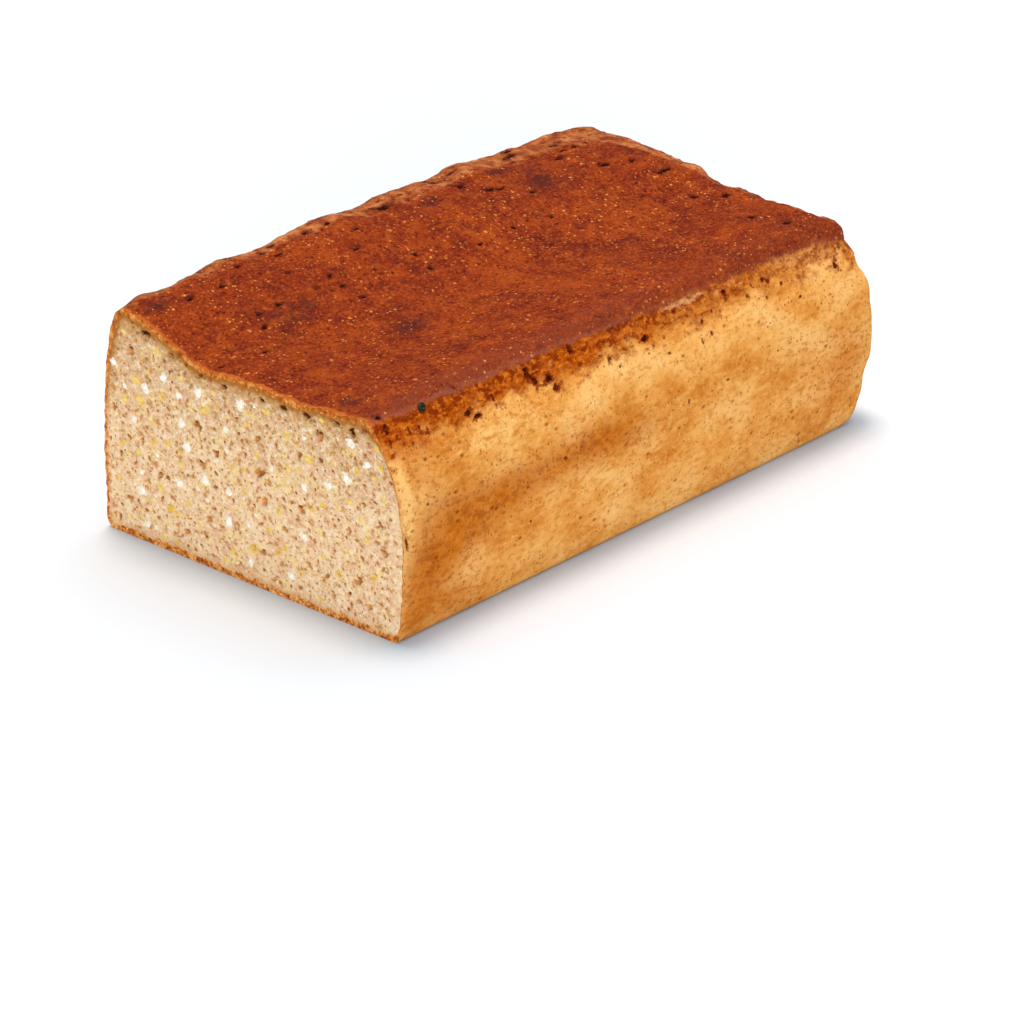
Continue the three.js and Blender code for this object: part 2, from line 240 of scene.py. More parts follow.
# %% From a plain box to the baked body
def rounded_box(box):
    """Rounds the box's edges, and tells which way each point faces.

    Points inside the box keep their share of the way out to the surface.
    """
    near_end = smooth_step(BASE_LENGTH - END_EDGE_REACH, BASE_LENGTH, box[:, 0])
    radius = mix(EDGE_RADIUS, near_end)
    up_radius = np.where(box[:, 2] > FULL_HEIGHT / 2, radius, BASE_EDGE_RADIUS)
    radii = np.stack([radius, radius, up_radius], 1)
    half = HALF_WIDTH - radius
    inner = np.stack([
        np.minimum(box[:, 0], BASE_LENGTH - radius),
        np.clip(box[:, 1], -half, half),
        np.clip(box[:, 2], BASE_EDGE_RADIUS - BASE_TRIM, FULL_HEIGHT - radius),
    ], 1)
    outward = (box - inner) / radii
    way_out = np.abs(outward).max(1, keepdims=True)
    length = np.linalg.norm(outward, axis=1, keepdims=True)
    outward = outward / np.maximum(length, 1e-9)
    return inner + radii * outward * way_out, outward


def baked(box):
    """The loaf without its crags: swollen walls and an uneven top."""
    rounded, outward = rounded_box(np.asarray(box, float))
    share = rounded[:, 2] / FULL_HEIGHT
    across = rounded[:, 1] / BASE_WIDTH + 0.5
    end_share = smooth_step(BASE_LENGTH - END_WALL_REACH, BASE_LENGTH, rounded[:, 0])
    points = np.stack([
        rounded[:, 0] + wall_swell(share, END_WALL) * end_share,
        rounded[:, 1] * (1 + side_swell(share, across)),
        share * top_height(rounded[:, 0], across),
    ], 1)
    return points, outward


corner, _ = baked([(0.0, -HALF_WIDTH, FULL_HEIGHT)])
print("the near shoulder starts at", corner.round(1)[0])

# %% [markdown]
# ## Crags
# Dough that has risen and torn leaves low lumps and dents of its own in each face, the
# strongest at the baked end. They are smooth bumps drawn with a fixed seed, in the same
# order as in the solid, so that they fall in the same places. The foot of the baked end
# and that of the far side are rounded off a little more than the solid's.

# %% Crags of each face
CRAG_SEED = 11
CRAG_FREE_HEIGHT = 9.0
RIDGE_BAND = 12.0
CRAGS = [  # face, count, radius, height
    ("end", 90, (3.5, 7.0), (-1.8, 1.8)),
    ("post", 12, (3.0, 5.5), (-1.6, 1.3)),
    ("brim", 14, (4.0, 7.0), (-1.0, 1.0)),
    ("top", 90, (7.0, 15.0), (-0.8, 0.8)),
    ("ridge", 30, (4.5, 9.0), (-0.9, 1.1)),
    ("near", 40, (10.0, 20.0), (-0.5, 0.5)),
    ("far", 40, (10.0, 20.0), (-0.5, 0.5)),
]
KNOBS = [  # height above the base, radius, height
    (69.5, 5.0, 2.4), (54.5, 3.0, -1.6), (44.5, 4.0, -2.6),
    (34.5, 4.0, -0.5), (19.0, 6.5, -1.9), (7.5, 4.0, -0.8),
]
EDGE_KNOBS = [  # face, along and over as shares of the face, radius, height
    ("ridge", 0.08, 0.15, 9.0, -1.3), ("ridge", 0.2, 0.15, 10.0, 1.4),
    ("ridge", 0.31, 0.15, 12.0, 1.2), ("ridge", 0.77, 0.15, 14.0, -1.5),
    ("ridge", 0.965, 0.1, 9.0, 0.9), ("end", 0.525, 1.0, 6.0, 1.8),
]
FINE_KNOBS = [  # the same, but too slight for the solid
    ("far", 0.0, 0.5, 34.0, -1.3), ("post", 0.0, 0.86, 4.0, -1.7), ("post", 0.0, 0.807, 2.5, 0.9),
    ("post", 0.0, 0.75, 3.2, -3.0), ("post", 0.0, 0.67, 3.0, -2.2), ("post", 0.0, 0.87, 6.0, -0.4),
]


def seeded_draw(seed):
    """Numbers between 0 and 1, the same on every run."""
    state = seed

    def draw():
        nonlocal state
        state = (state * 1664525 + 1013904223) % 2**32
        return state / 2**32

    return draw


def on_face(face, along, over):
    """A point on one face of the plain box, both places given as shares of the face."""
    x, up = along * BASE_LENGTH, over * FULL_HEIGHT
    from_side = mix((-HALF_WIDTH, HALF_WIDTH), along if face == "end" else over)
    return {
        "end": (BASE_LENGTH, from_side, up),
        "post": (BASE_LENGTH, -HALF_WIDTH, up),
        "brim": (0.0, from_side, FULL_HEIGHT),
        "top": (x, from_side, FULL_HEIGHT),
        "ridge": (x, HALF_WIDTH - over * RIDGE_BAND, FULL_HEIGHT),
        "near": (x, -HALF_WIDTH, up),
        "far": (x, HALF_WIDTH, up),
    }[face]


def make_crags():
    draw = seeded_draw(CRAG_SEED)
    made = []
    for face, count, radius, height in CRAGS:
        for _ in range(count):
            place = on_face(face, draw(), draw())
            made.append((baked([place])[0][0], mix(radius, draw()), mix(height, draw())))
    post_knobs = [("post", 0.0, up / FULL_HEIGHT, radius, height) for up, radius, height in KNOBS]
    for face, along, over, radius, height in post_knobs + EDGE_KNOBS + FINE_KNOBS:
        made.append((baked([on_face(face, along, over)])[0][0], radius, height))
    return made


crags = make_crags()
print(len(crags), "crags")


# %% The skin with its crags
FEET = [  # axis, where the foot starts and is full, its height and how far it draws in
    (0, BASE_LENGTH - 24.0, BASE_LENGTH, 13.0, 10.5),
    (1, 35.0, HALF_WIDTH, 4.5, 2.2),
]


def skin(box):
    """Points of the loaf's surface for points of the plain box, crags included."""
    box = np.asarray(box, float)
    points, outward = baked(box)
    relief = np.zeros(len(points))
    for centre, radius, height in crags:
        relief += height * np.exp(-((points - centre) ** 2).sum(1) / radius**2)
    free = smooth_step(0.0, CRAG_FREE_HEIGHT, points[:, 2])
    points = points + outward * (relief * free)[:, None]
    for axis, start, full, height, reach in FEET:
        low = np.clip(1 - points[:, 2] / height, 0, 1)
        drawn_in = reach * (1 - np.sqrt(1 - low**2))
        points[:, axis] -= drawn_in * smooth_step(start, full, box[:, axis])
    return points, outward


solid_end = solid_points.max(0) - (CUT_X, MIDDLE_Y, 0)
print("the solid's box in loaf millimetres ends at", solid_end.round(1))

# %% [markdown]
# ## Small lumps
# Between the crags the crust is still uneven at the scale of its grains. Noise in three
# sizes moves the skin a little, more on the top and at the baked end than on the long
# sides, which lay against the tin. Crust and crumb share this finer skin, so they meet
# without a gap at the cut.

# %% The fine skin
LUMPS = [  # size, then height on the top, on a side and on the end
    (5.5, 0.40, 0.15, 0.6),
    (2.6, 0.30, 0.10, 0.6),
    (1.5, 0.14, 0.05, 0.18),
]
TORN_HEIGHT, TORN_REACH, TORN_SIZE, TORN_SHIFT = 0.45, 1.6, 2.3, 3.0
FACING_UP = (0.45, 0.85)
FACING_END = (0.4, 0.9)


def lumps(points, size, shift=0.0):
    """Smooth noise between about -1 and 1, with lumps of one size in millimetres."""
    return np.array([noise.noise(p) for p in (points / size + shift).tolist()])


def layered(points, layers):
    """Lumps of several sizes, each with its size, its height and perhaps a shift."""
    return sum(height * lumps(points, size, *shift) for size, height, *shift in layers)


def fine_skin(box):
    """The skin with the small lumps that lie between its crags, torn along the cut."""
    points, outward = skin(box)
    from_cut = np.asarray(box, float)[:, 0]
    up = smooth_step(*FACING_UP, outward[:, 2])
    end = smooth_step(*FACING_END, outward[:, 0])
    relief = np.zeros(len(points))
    for size, on_top, on_side, on_end in LUMPS:
        height = on_side + (on_top - on_side) * up + (on_end - on_side) * end
        relief += height * lumps(points, size)
    torn = lumps(points, TORN_SIZE, TORN_SHIFT)
    relief += TORN_HEIGHT * np.exp(-((from_cut / TORN_REACH) ** 2)) * torn
    relief *= smooth_step(0.0, CRAG_FREE_HEIGHT / 2, points[:, 2])
    return points + outward * relief[:, None], outward


print("small lumps of", [size for size, *_ in LUMPS], "mm")

# %% [markdown]
# ## Pits and slits in the crust
# Gas and torn dough leave small dark holes, most of them under the brown top edge of the
# long side and along the far ridge. The clearest are those of the solid, and the shallow
# ones between them stand where the photograph shows them. Each is a place on the box and
# two half sizes. Finer pinholes are left to the material.

# %% Pits of the near side and the top
NEAR_PITS = [  # mm from the cut, mm above the base, half width, half height
    (4.2, 64.4, 0.9, 1.5), (36.0, 60.1, 1.4, 0.9), (38.6, 58.4, 1.7, 0.8), (63.1, 63.0, 1.5, 1.7),
    (65.3, 60.6, 1.2, 1.6), (70.7, 59.6, 1.8, 1.1), (72.6, 56.9, 1.0, 1.3), (83.1, 64.4, 0.9, 1.4),
    (114.2, 58.9, 1.4, 1.0), (153.4, 61.5, 0.8, 1.6), (171.3, 60.6, 0.9, 1.0), (205.2, 55.9, 1.2, 1.4),
]
TOP_PITS = [  # mm from the cut, mm across from the middle, half length, half width
    (105.8, 43.6, 2.1, 1.5), (131.3, 48.5, 1.7, 1.1), (134.4, 37.3, 1.4, 1.0), (167.0, 45.7, 2.2, 0.9),
    (178.0, 34.5, 2.3, 0.9), (185.9, 20.6, 1.5, 1.0), (205.0, 6.5, 2.2, 1.0), (208.0, -16.4, 1.8, 0.9),
    (201.2, -45.1, 1.8, 0.9),
]
NEAR_SHALLOW = [
    (3.7, 60.8, 0.5, 1.9), (11.9, 62.3, 0.45, 1.9), (15.9, 62.0, 0.45, 1.4), (18.7, 60.4, 0.5, 1.6),
    (46.9, 61.2, 0.55, 1.4), (70.6, 36.1, 0.6, 0.5), (55.4, 20.8, 0.6, 0.5), (1.6, 32.1, 0.6, 2.4),
    (117.0, 56.4, 0.7, 0.8), (122.2, 57.0, 0.8, 0.7), (140.2, 56.6, 0.7, 0.8), (149.4, 57.0, 0.6, 0.8),
    (162.4, 58.2, 0.6, 0.7), (165.7, 60.5, 0.6, 0.8), (172.9, 59.5, 0.6, 0.6), (170.8, 55.3, 0.8, 0.8),
    (178.8, 57.6, 0.5, 0.6), (185.5, 51.8, 0.6, 0.5), (211.6, 61.3, 0.8, 0.9), (97.0, 57.5, 0.7, 1.0),
    (122.9, 52.2, 0.9, 0.7), (138.2, 51.5, 0.5, 1.6), (143.1, 52.6, 0.7, 0.8), (100.5, 54.9, 0.7, 0.6),
    (129.7, 62.4, 0.6, 0.5), (117.6, 62.9, 0.7, 0.6), (145.8, 58.2, 0.7, 0.7), (101.4, 65.3, 2.2, 0.6),
    (11.7, 41.3, 0.6, 0.5), (146.9, 36.8, 0.7, 0.5), (128.1, 35.8, 0.6, 0.6), (171.5, 38.7, 0.5, 0.4),
]
TOP_SHALLOW = [
    (144.1, 29.4, 2.6, 0.6), (184.8, 38.0, 1.4, 0.8), (197.3, -9.6, 1.6, 0.9), (194.2, -34.7, 1.2, 0.9),
    (145.8, 9.1, 0.9, 0.9), (115.6, 45.9, 0.8, 0.6), (139.5, 46.7, 1.4, 0.5), (131.6, 46.2, 1.5, 1.2),
    (87.4, 37.8, 1.3, 0.7), (80.0, 31.2, 1.0, 0.7), (94.1, 19.2, 1.0, 0.7), (92.6, 11.3, 0.9, 0.6),
    (114.7, 11.0, 0.9, 0.6), (63.5, 20.7, 1.0, 0.6), (65.3, 13.8, 1.0, 0.6), (130.2, 11.0, 0.9, 0.6),
    (19.7, 10.9, 0.9, 0.7), (4.4, 13.7, 1.0, 0.7), (4.4, -50.9, 1.2, 1.0), (152.3, 22.7, 1.2, 0.7),
    (190.7, 37.0, 1.4, 0.8), (185.9, 43.1, 1.7, 0.8), (197.1, 16.3, 1.1, 0.8), (200.6, 6.7, 1.0, 0.7),
    (140.7, 30.3, 1.9, 0.7), (169.7, 49.5, 1.7, 0.7), (82.9, 45.8, 1.0, 0.7), (74.5, 47.6, 1.2, 0.8),
    (61.5, 49.5, 1.4, 0.7), (56.1, 47.8, 1.0, 0.8), (59.0, 43.4, 1.2, 0.7), (42.1, 44.2, 1.0, 0.7),
    (31.1, 40.1, 1.3, 0.8), (18.1, 40.4, 1.1, 0.8), (39.9, 24.9, 1.2, 0.8), (29.0, 20.3, 1.0, 0.8),
    (31.7, 25.5, 0.9, 0.7), (63.4, 26.2, 1.0, 0.7), (53.3, 33.8, 1.3, 0.7),
]
CLEAR_DARK, SHALLOW_DARK = 1.0, 0.7
PLACE_STEPS = 6


def near_place(x, up):
    """The point of the plain box behind a place on the near wall."""
    return (x, -HALF_WIDTH, FULL_HEIGHT * up / float(top_height(x, 0.0)))


def top_place(x, across):
    """The point of the plain box behind a place on the top."""
    y = across
    for _ in range(PLACE_STEPS):
        y = across / (1 + float(side_swell(1.0, y / BASE_WIDTH + 0.5)))
    return (x, y, FULL_HEIGHT)


pits = []
for place_on_box, listed, dark in (
    (near_place, NEAR_PITS, CLEAR_DARK),
    (near_place, NEAR_SHALLOW, SHALLOW_DARK),
    (top_place, TOP_PITS + TOP_SHALLOW, CLEAR_DARK),
):
    pits += [(place_on_box(x, second), *half_sizes, dark) for x, second, *half_sizes in listed]
print(len(pits), "pits that the photograph shows")

# %% Drawn pits of the end and the far side, as in the solid
PIT_SEED = 23
PIT_DEPTH = 0.8
PIT_WIDTH = (0.65, 1.0)
DRAWN_PITS = [  # face, count, along, over, radius
    ("end", 8, (0.1, 0.9), (0.3, 0.85), (0.9, 1.6)),
    ("far", 14, (0.05, 0.95), (0.6, 0.9), (0.9, 1.6)),
]

pit_draw = seeded_draw(PIT_SEED)
for face, count, along, over, radius in DRAWN_PITS:
    for _ in range(count):
        pit_place = on_face(face, mix(along, pit_draw()), mix(over, pit_draw()))
        pit_size = mix(radius, pit_draw())
        pits.append((pit_place, pit_size, pit_size * mix(PIT_WIDTH, pit_draw()), CLEAR_DARK))
print(len(pits), "pits in all")

# %% [markdown]
# ## The crust
# The crust is one thin shell that is open at the cut. A cube is divided into even steps,
# its base is closed by one flat face, and its front is opened. From that rim an inner
# wall runs back inside, as in a real hollowed loaf. The steps are halved again round each
# pit, so that the pits are real holes and the shell still stays light.

# %% A cube of steps
CRUST_STEP = 1.28
CRUST_WALL = 2.0
TINY = 1e-4


def step_counts(lowest, highest, step):
    return [round((high - low) / step) for low, high in zip(lowest, highest)]


def cube_of_steps(lowest, highest, counts):
    """A box of bmesh faces, divided into a number of steps along each axis."""
    bm = bmesh.new()
    bmesh.ops.create_cube(bm, size=1.0)
    for axis, count in enumerate(counts):
        edges = [e for e in bm.edges if abs(e.verts[0].co[axis] - e.verts[1].co[axis]) > TINY]
        bmesh.ops.subdivide_edges(bm, edges=edges, cuts=count - 1, use_grid_fill=True)
    bmesh.ops.scale(bm, vec=Vector(highest) - Vector(lowest), verts=bm.verts)
    bmesh.ops.translate(bm, vec=(Vector(highest) + Vector(lowest)) / 2, verts=bm.verts)
    return bm


box_low = (0.0, -HALF_WIDTH, -BASE_TRIM)
box_high = (BASE_LENGTH, HALF_WIDTH, FULL_HEIGHT)
crust_steps = step_counts(box_low, box_high, CRUST_STEP)
crust_bm = cube_of_steps(box_low, box_high, crust_steps)
print("crust grid", crust_steps, "with", len(crust_bm.faces), "faces")


# %% Open the front and close the base
def faces_on(bm, axis, value):
    """The faces whose vertices all lie at a value of one axis."""
    return [f for f in bm.faces if all(abs(v.co[axis] - value) < TINY for v in f.verts)]


def close_with_one_face(bm, faces):
    """Swaps a flat field of faces for a single one."""
    field = set(faces)
    rim = [e for f in faces for e in f.edges if any(n not in field for n in e.link_faces)]
    rim = list(dict.fromkeys(rim))
    inside = list({v for f in faces for v in f.verts} - {v for e in rim for v in e.verts})
    bmesh.ops.delete(bm, geom=faces, context="FACES_KEEP_BOUNDARY")
    bmesh.ops.delete(bm, geom=[v for v in inside if v.is_valid], context="VERTS")
    bmesh.ops.contextual_create(bm, geom=[e for e in rim if e.is_valid])


close_with_one_face(crust_bm, faces_on(crust_bm, 2, -BASE_TRIM))
bmesh.ops.delete(crust_bm, geom=faces_on(crust_bm, 0, 0.0), context="FACES")
print("open at the front, with", len(crust_bm.faces), "faces")


# %% Smaller steps round each pit
PIT_MARGINS = (1.6, 0.7)
WHOLE_FROM = 9  # faces with this many corners or more stay whole, as the base does


def halve_round(bm, places, margin):
    """Halves the steps of the faces that lie within reach of the pits."""
    bm.faces.ensure_lookup_table()
    tree = kdtree.KDTree(len(bm.faces))
    for i, face in enumerate(bm.faces):
        tree.insert(face.calc_center_median(), i)
    tree.balance()
    chosen = set()
    for place, reach in places:
        chosen.update(i for _, i, _ in tree.find_range(place, reach + margin))
    edges = {e for i in chosen if len(bm.faces[i].verts) < WHOLE_FROM for e in bm.faces[i].edges}
    bmesh.ops.subdivide_edges(bm, edges=list(edges), cuts=1, use_grid_fill=True)
    return len(edges)


pit_reach = [(place, max(wide, tall)) for place, wide, tall, _ in pits]
for margin in PIT_MARGINS:
    halved = halve_round(crust_bm, pit_reach, margin)
    print("halved", halved, "edges, now", len(crust_bm.faces), "faces")


# %% Smaller steps along the cut
CUT_HALVINGS = 2


def open_edges(bm):
    return [e for e in bm.edges if e.is_boundary]


for _ in range(CUT_HALVINGS):
    rim_faces = [f for f in crust_bm.faces if any(e.is_boundary for e in f.edges)]
    rim_edges = {e for f in rim_faces if len(f.verts) < WHOLE_FROM for e in f.edges if e.is_boundary}
    bmesh.ops.subdivide_edges(crust_bm, edges=list(rim_edges), cuts=1, use_grid_fill=True)
print("the cut edge has", len(open_edges(crust_bm)), "steps")


# %% The inner wall of the shell
CRUST_REACHES = [CRUST_WALL, 10.0, 30.0, 60.0, 100.0, 140.0, 180.0, 203.0, 212.0]


def run_back(bm, reaches, wall, rim_inset=0.0):
    """Draws the open rim back inside, ring by ring, and keeps how far each point sinks in."""
    inset = bm.verts.layers.float.new("inset")
    for vert in bm.verts:
        vert[inset] = rim_inset
    ring = open_edges(bm)
    for edge in ring:
        edge.smooth = False
    for reach in reaches:
        made = bmesh.ops.extrude_edge_only(bm, edges=ring)["geom"]
        for vert in (v for v in made if isinstance(v, bmesh.types.BMVert)):
            vert.co.x = reach
            vert[inset] = wall
        ring = [e for e in made if isinstance(e, bmesh.types.BMEdge)]
    bmesh.ops.contextual_create(bm, geom=ring)
    bmesh.ops.recalc_face_normals(bm, faces=bm.faces)


run_back(crust_bm, CRUST_REACHES, CRUST_WALL)
print("the shell has", len(crust_bm.faces), "faces")


# %% Read and write the points of a mesh
def read_points(mesh):
    points = np.zeros(len(mesh.vertices) * 3)
    mesh.vertices.foreach_get("co", points)
    return points.reshape(-1, 3)


def write_points(mesh, points):
    mesh.vertices.foreach_set("co", to_frame(points).ravel())
    mesh.update()


def write_values(mesh, **kept):
    """Keeps numbers for each vertex, which the material can read by their names."""
    for name, values in kept.items():
        layer = mesh.attributes.new(name, "FLOAT", "POINT")
        layer.data.foreach_set("value", np.asarray(values, np.float32))


def finish_mesh(bm, name):
    """Turns a bmesh into a smooth-shaded object at the origin."""
    mesh = bpy.data.meshes.new(name)
    bm.to_mesh(mesh)
    bm.free()
    mesh.polygons.foreach_set("use_smooth", [True] * len(mesh.polygons))
    made = bpy.data.objects.new(name, mesh)
    bpy.context.collection.objects.link(made)
    return made


def finish_shell(bm, name):
    """The object, its points on the plain box and how far each of them sinks in."""
    made = finish_mesh(bm, name)
    inset = np.zeros(len(made.data.vertices), np.float32)
    made.data.attributes["inset"].data.foreach_get("value", inset)
    return made, read_points(made.data), inset


crust, crust_box, crust_inset = finish_shell(crust_bm, "crust")
print("crust has", len(crust_box), "points")

# %% [markdown]
# ## The pits' bowls
# Each pit sinks into the fine skin as a bowl with a torn, uneven outline. How deep a
# point lies in a pit, and how near it is to one, is kept for the material, which paints
# shade into the pits and stains the crust around them.

# %% Sink the pits
PIT_RAGGED = [(1.7, 1.2), (0.9, 1.0)]  # size and strength of the noise
LEAST_RAGGED = 0.45
FACING_AWAY = (0.3, 0.7)
CALM_AWAY = 0.7  # the pits that the photograph doesn't show have a calmer outline
PIT_NEAR = 9.0
PIT_DARKENING = 1.9
STAIN_REACH = 2.2
STEEP = 0.8

crust_points, crust_out = fine_skin(crust_box)
facing_up = smooth_step(*FACING_UP, crust_out[:, 2])
away = smooth_step(*FACING_AWAY, crust_out[:, :2].max(1))
ragged = 1 + layered(crust_points, PIT_RAGGED) * (1 - CALM_AWAY * away)
ragged = np.maximum(ragged, LEAST_RAGGED)


def pit_distance(points, place, wide, tall):
    """Squared distance to a pit's middle, as a share of the pit's half sizes."""
    (centre,), (outward,) = fine_skin([place])
    outward = Vector(outward).normalized()
    up = Vector((0, 0, 1)) if abs(outward.z) < STEEP else Vector((0, 1, 0))
    wide_axis = up.cross(outward).normalized()
    tall_axis = outward.cross(wide_axis)
    axes = ((wide_axis, wide), (tall_axis, tall), (outward, max(wide, tall)))
    return sum(((points - centre) @ np.array(axis) / half) ** 2 for axis, half in axes)


def keep_most(values, near, amount):
    values[near] = np.maximum(values[near], amount)


# pit_painted_shade is shade painted into each pit's colour; pit_sink is its real depth
pit_sink, pit_painted_shade, pit_stain = np.zeros((3, len(crust_points)))
for place, wide, tall, dark in pits:
    near = np.abs(crust_box - place).max(1) < PIT_NEAR
    square = pit_distance(crust_points[near], place, wide, tall)
    share = np.clip(1 - square * ragged[near], 0, 1)
    keep_most(pit_sink, near, dark * PIT_DEPTH * min(wide, tall) * np.sqrt(share))
    keep_most(pit_painted_shade, near, dark * np.clip(PIT_DARKENING * share, 0, 1))
    keep_most(pit_stain, near, dark * np.exp(-square / STAIN_REACH**2))
outside = crust_inset == 0
pit_sink *= outside
crust_points = crust_points - crust_out * (pit_sink + crust_inset)[:, None]
crust_points[outside, 2] = np.maximum(crust_points[outside, 2], 0)
write_points(crust.data, crust_points)
print("deepest pit", pit_sink.max().round(2), "mm")

# %% [markdown]
# ## Where the bake has its colours
# The top is mahogany down to a line a little below the near shoulder, and the material
# needs to know how far each point is above or below that line. It also needs the burnt
# patches, the paler strip along the far ridge and the cloudy patches of the long side.
# They are soft spots at chosen places, and noise in the material makes them uneven. All
# of it is kept as one number for each vertex.

# %% Height above the brown edge
BROWN_EDGE_NEAR = [(0, 66.4), (25, 66.8), (75, 66.3), (110, 65.6), (150, 64.8), (200, 64.2), (216, 61.4)]
BROWN_EDGE_FAR = (72.0, 70.0)
BROWN_EDGE_END = 60.5
EDGE_CROSSES = (0.2, 0.8)  # share of the width in which it goes over to the far side
EDGE_TURNS = (0.96, 1.02)  # share of the length in which it turns round the end
FLAT_TOP = 0.97
FLAT_TOP_RISE = 12.0


def along_line(places, stops):
    """Reads a broken line, given by its corners, at each place along the loaf."""
    return np.interp(places, *zip(*stops))


across_share = np.clip(crust_points[:, 1] / BASE_WIDTH + 0.5, 0, 1)
along_share = np.clip(crust_points[:, 0] / BASE_LENGTH, 0, 1)
near_edge = along_line(crust_points[:, 0], BROWN_EDGE_NEAR)
far_edge = mix(BROWN_EDGE_FAR, along_share)
edge_height = mix((near_edge, far_edge), smooth_step(*EDGE_CROSSES, across_share))
edge_height = mix((edge_height, BROWN_EDGE_END), smooth_step(*EDGE_TURNS, along_share))
rise = np.where(crust_out[:, 2] > FLAT_TOP, FLAT_TOP_RISE, crust_points[:, 2] - edge_height)
write_values(crust.data, rise=rise)
print("the brown edge lies between", edge_height.min().round(1), "and", edge_height.max().round(1))


# %% Soft spots
def spots(points, places):
    """Sum of soft spots, each with a centre and a reach along and across."""
    total = np.zeros(len(points))
    for first, second, reach_first, reach_second, strength in places:
        share = ((points[:, 0] - first) / reach_first) ** 2
        share = share + ((points[:, 1] - second) / reach_second) ** 2
        total += strength * np.exp(-share)
    return np.clip(total, 0, 1)


BURNT = [  # mm from the cut, mm across, reach along, reach across, strength
    (159.0, 25.5, 8.0, 5.5, 1.2), (152.0, 38.0, 7.0, 3.5, 0.9), (119.8, 36.0, 8.0, 3.2, 1.0),
    (6.8, -36.5, 6.0, 5.0, 1.1), (35.6, 16.5, 8.0, 5.0, 0.7), (8.0, 44.5, 6.5, 5.0, 0.9),
    (61.0, -8.5, 10.0, 6.0, 1.0), (48.0, 20.5, 8.0, 5.0, 0.8), (163.0, 33.5, 5.0, 3.0, 0.6),
    (32.0, 23.8, 6.0, 4.0, 0.6), (40.0, -45.0, 12.0, 5.0, 0.4),
]
CLOUDS = [  # mm from the cut, mm above the base, reach along, reach up, strength
    (11.0, 21.0, 12.0, 12.0, 1.0), (24.0, 6.0, 11.0, 6.0, 0.6), (31.0, 30.0, 14.0, 11.0, 0.8),
    (68.0, 36.0, 20.0, 6.5, 0.65), (88.0, 37.0, 14.0, 6.0, 0.55), (48.0, 33.0, 14.0, 8.0, 0.55),
    (6.0, 7.0, 7.0, 7.0, 0.5), (18.0, 38.0, 12.0, 7.0, 0.45),
    (105.0, 34.0, 18.0, 7.0, 0.45), (178.0, 33.0, 14.0, 8.0, 0.25), (205.0, 26.0, 12.0, 14.0, 0.5),
    (185.0, 14.0, 38.0, 12.0, 0.25),
    (8.0, 56.0, 9.0, 10.0, 0.6), (22.0, 56.0, 7.0, 6.0, 0.5),
]
PALE = [(137.0, 63.6, 8.0, 1.3, 0.9), (128.0, 64.6, 7.0, 1.1, 0.6), (150.0, 63.4, 8.0, 1.2, 0.6),
        (162.0, 63.4, 8.0, 1.1, 0.5)]
LIGHT = [(3.0, 48.0, 3.0, 9.0, 0.9), (2.5, 36.0, 2.0, 5.0, 0.5), (45.0, 52.0, 20.0, 5.0, 0.6)]
FACING_NEAR = (0.2, 0.6)

top_view = crust_points[:, [0, 1]]
side_view = crust_points[:, [0, 2]]
on_near_wall = smooth_step(*FACING_NEAR, -crust_out[:, 1])
write_values(
    crust.data,
    burnt=spots(top_view, BURNT) * facing_up,
    cloud=spots(side_view, CLOUDS),
    pale=spots(side_view, PALE) * on_near_wall,
    light=spots(side_view, LIGHT) * on_near_wall,
    pit=pit_painted_shade,
    stain=pit_stain,
)
print("spots for", len(BURNT), "burnt places and", len(CLOUDS), "clouds")

# %% Strips along the top's edges and the cut
RIDGE_STRIP = [(0, 47), (70, 45), (110, 41), (135, 39), (180, 40), (198, 33), (206, 0), (210, -64)]
STRIP_WAVES = [(8.0, 1.5)]  # size and height
STRIP_FADE = (-3.5, 5.0)
SHEEN_REACH = 7.0
SHEEN_LOWEST = -1.0  # above the brown edge
SHEEN_ALONG = [(0, 0.9), (30, 1.0), (90, 0.9), (130, 0.5), (220, 0.35)]
SAWN_REACH = 1.5
TORN_ALONG = [(0, 1.0), (95, 1.0), (120, 0.9), (150, 0.75), (185, 0.65), (220, 0.85)]

from_cut = crust_points[:, 0]
strip_edge = along_line(from_cut, RIDGE_STRIP) + layered(crust_points, STRIP_WAVES)
strip = smooth_step(*STRIP_FADE, crust_points[:, 1] - strip_edge)
from_near = np.maximum(crust_box[:, 1] + HALF_WIDTH, 0)
# Painted reflection: a soft sheen of light along the near shoulder is kept as a band for the top's
# colour
sheen = along_line(from_cut, SHEEN_ALONG) * np.exp(-((from_near / SHEEN_REACH) ** 2))
write_values(
    crust.data,
    ridge=strip * facing_up,
    sheen=sheen * (rise > SHEEN_LOWEST),
    sawn=np.exp(-((crust_box[:, 0] / SAWN_REACH) ** 2)),
    torn=along_line(from_cut, TORN_ALONG),
)
print("strips written")

# %% [markdown]
# ## The cut face
# A saw has laid open the crumb: torn gaps under the top crust, air pores, whole white
# grains and yellow grits. First come the places, drawn by the same rule as in the solid,
# the largest first and each in the freest of some tries. Much finer pores follow, which
# the solid leaves out.

# %% Places of the crumb's items
CRUMB_SEED = 5
CRUST_THICKNESS = 3.0
CRUMB_MARGIN = 3.2
ITEM_GAP = 1.3
SPREAD_TRIES = 16
CLEAR_ITEMS = {  # across, up, radius
    "pore": [
        (20.5, 45.5, 2.1), (13.0, 38.5, 1.7), (19.0, 33.0, 1.7), (-5.0, 37.5, 2.1),
        (-7.0, 29.0, 1.9), (-30.5, 57.0, 1.8), (48.0, 61.5, 1.9), (-22.0, 31.0, 1.6),
        (50.5, 12.5, 1.6), (-45.5, 15.5, 1.6), (-55.5, 27.5, 1.4),
    ],
    "grain": [
        (55.5, 56.0, 1.2), (42.0, 51.0, 1.4), (19.5, 56.0, 1.3), (2.0, 57.5, 1.5),
        (27.0, 44.0, 1.2), (25.0, 37.0, 1.5), (-43.0, 58.5, 1.4), (-49.0, 53.5, 1.1),
        (-41.0, 46.5, 1.5), (-33.5, 42.5, 1.2), (17.5, 28.5, 1.4), (28.5, 24.0, 1.3),
        (45.0, 16.5, 1.3), (8.0, 17.5, 1.4),
    ],
}
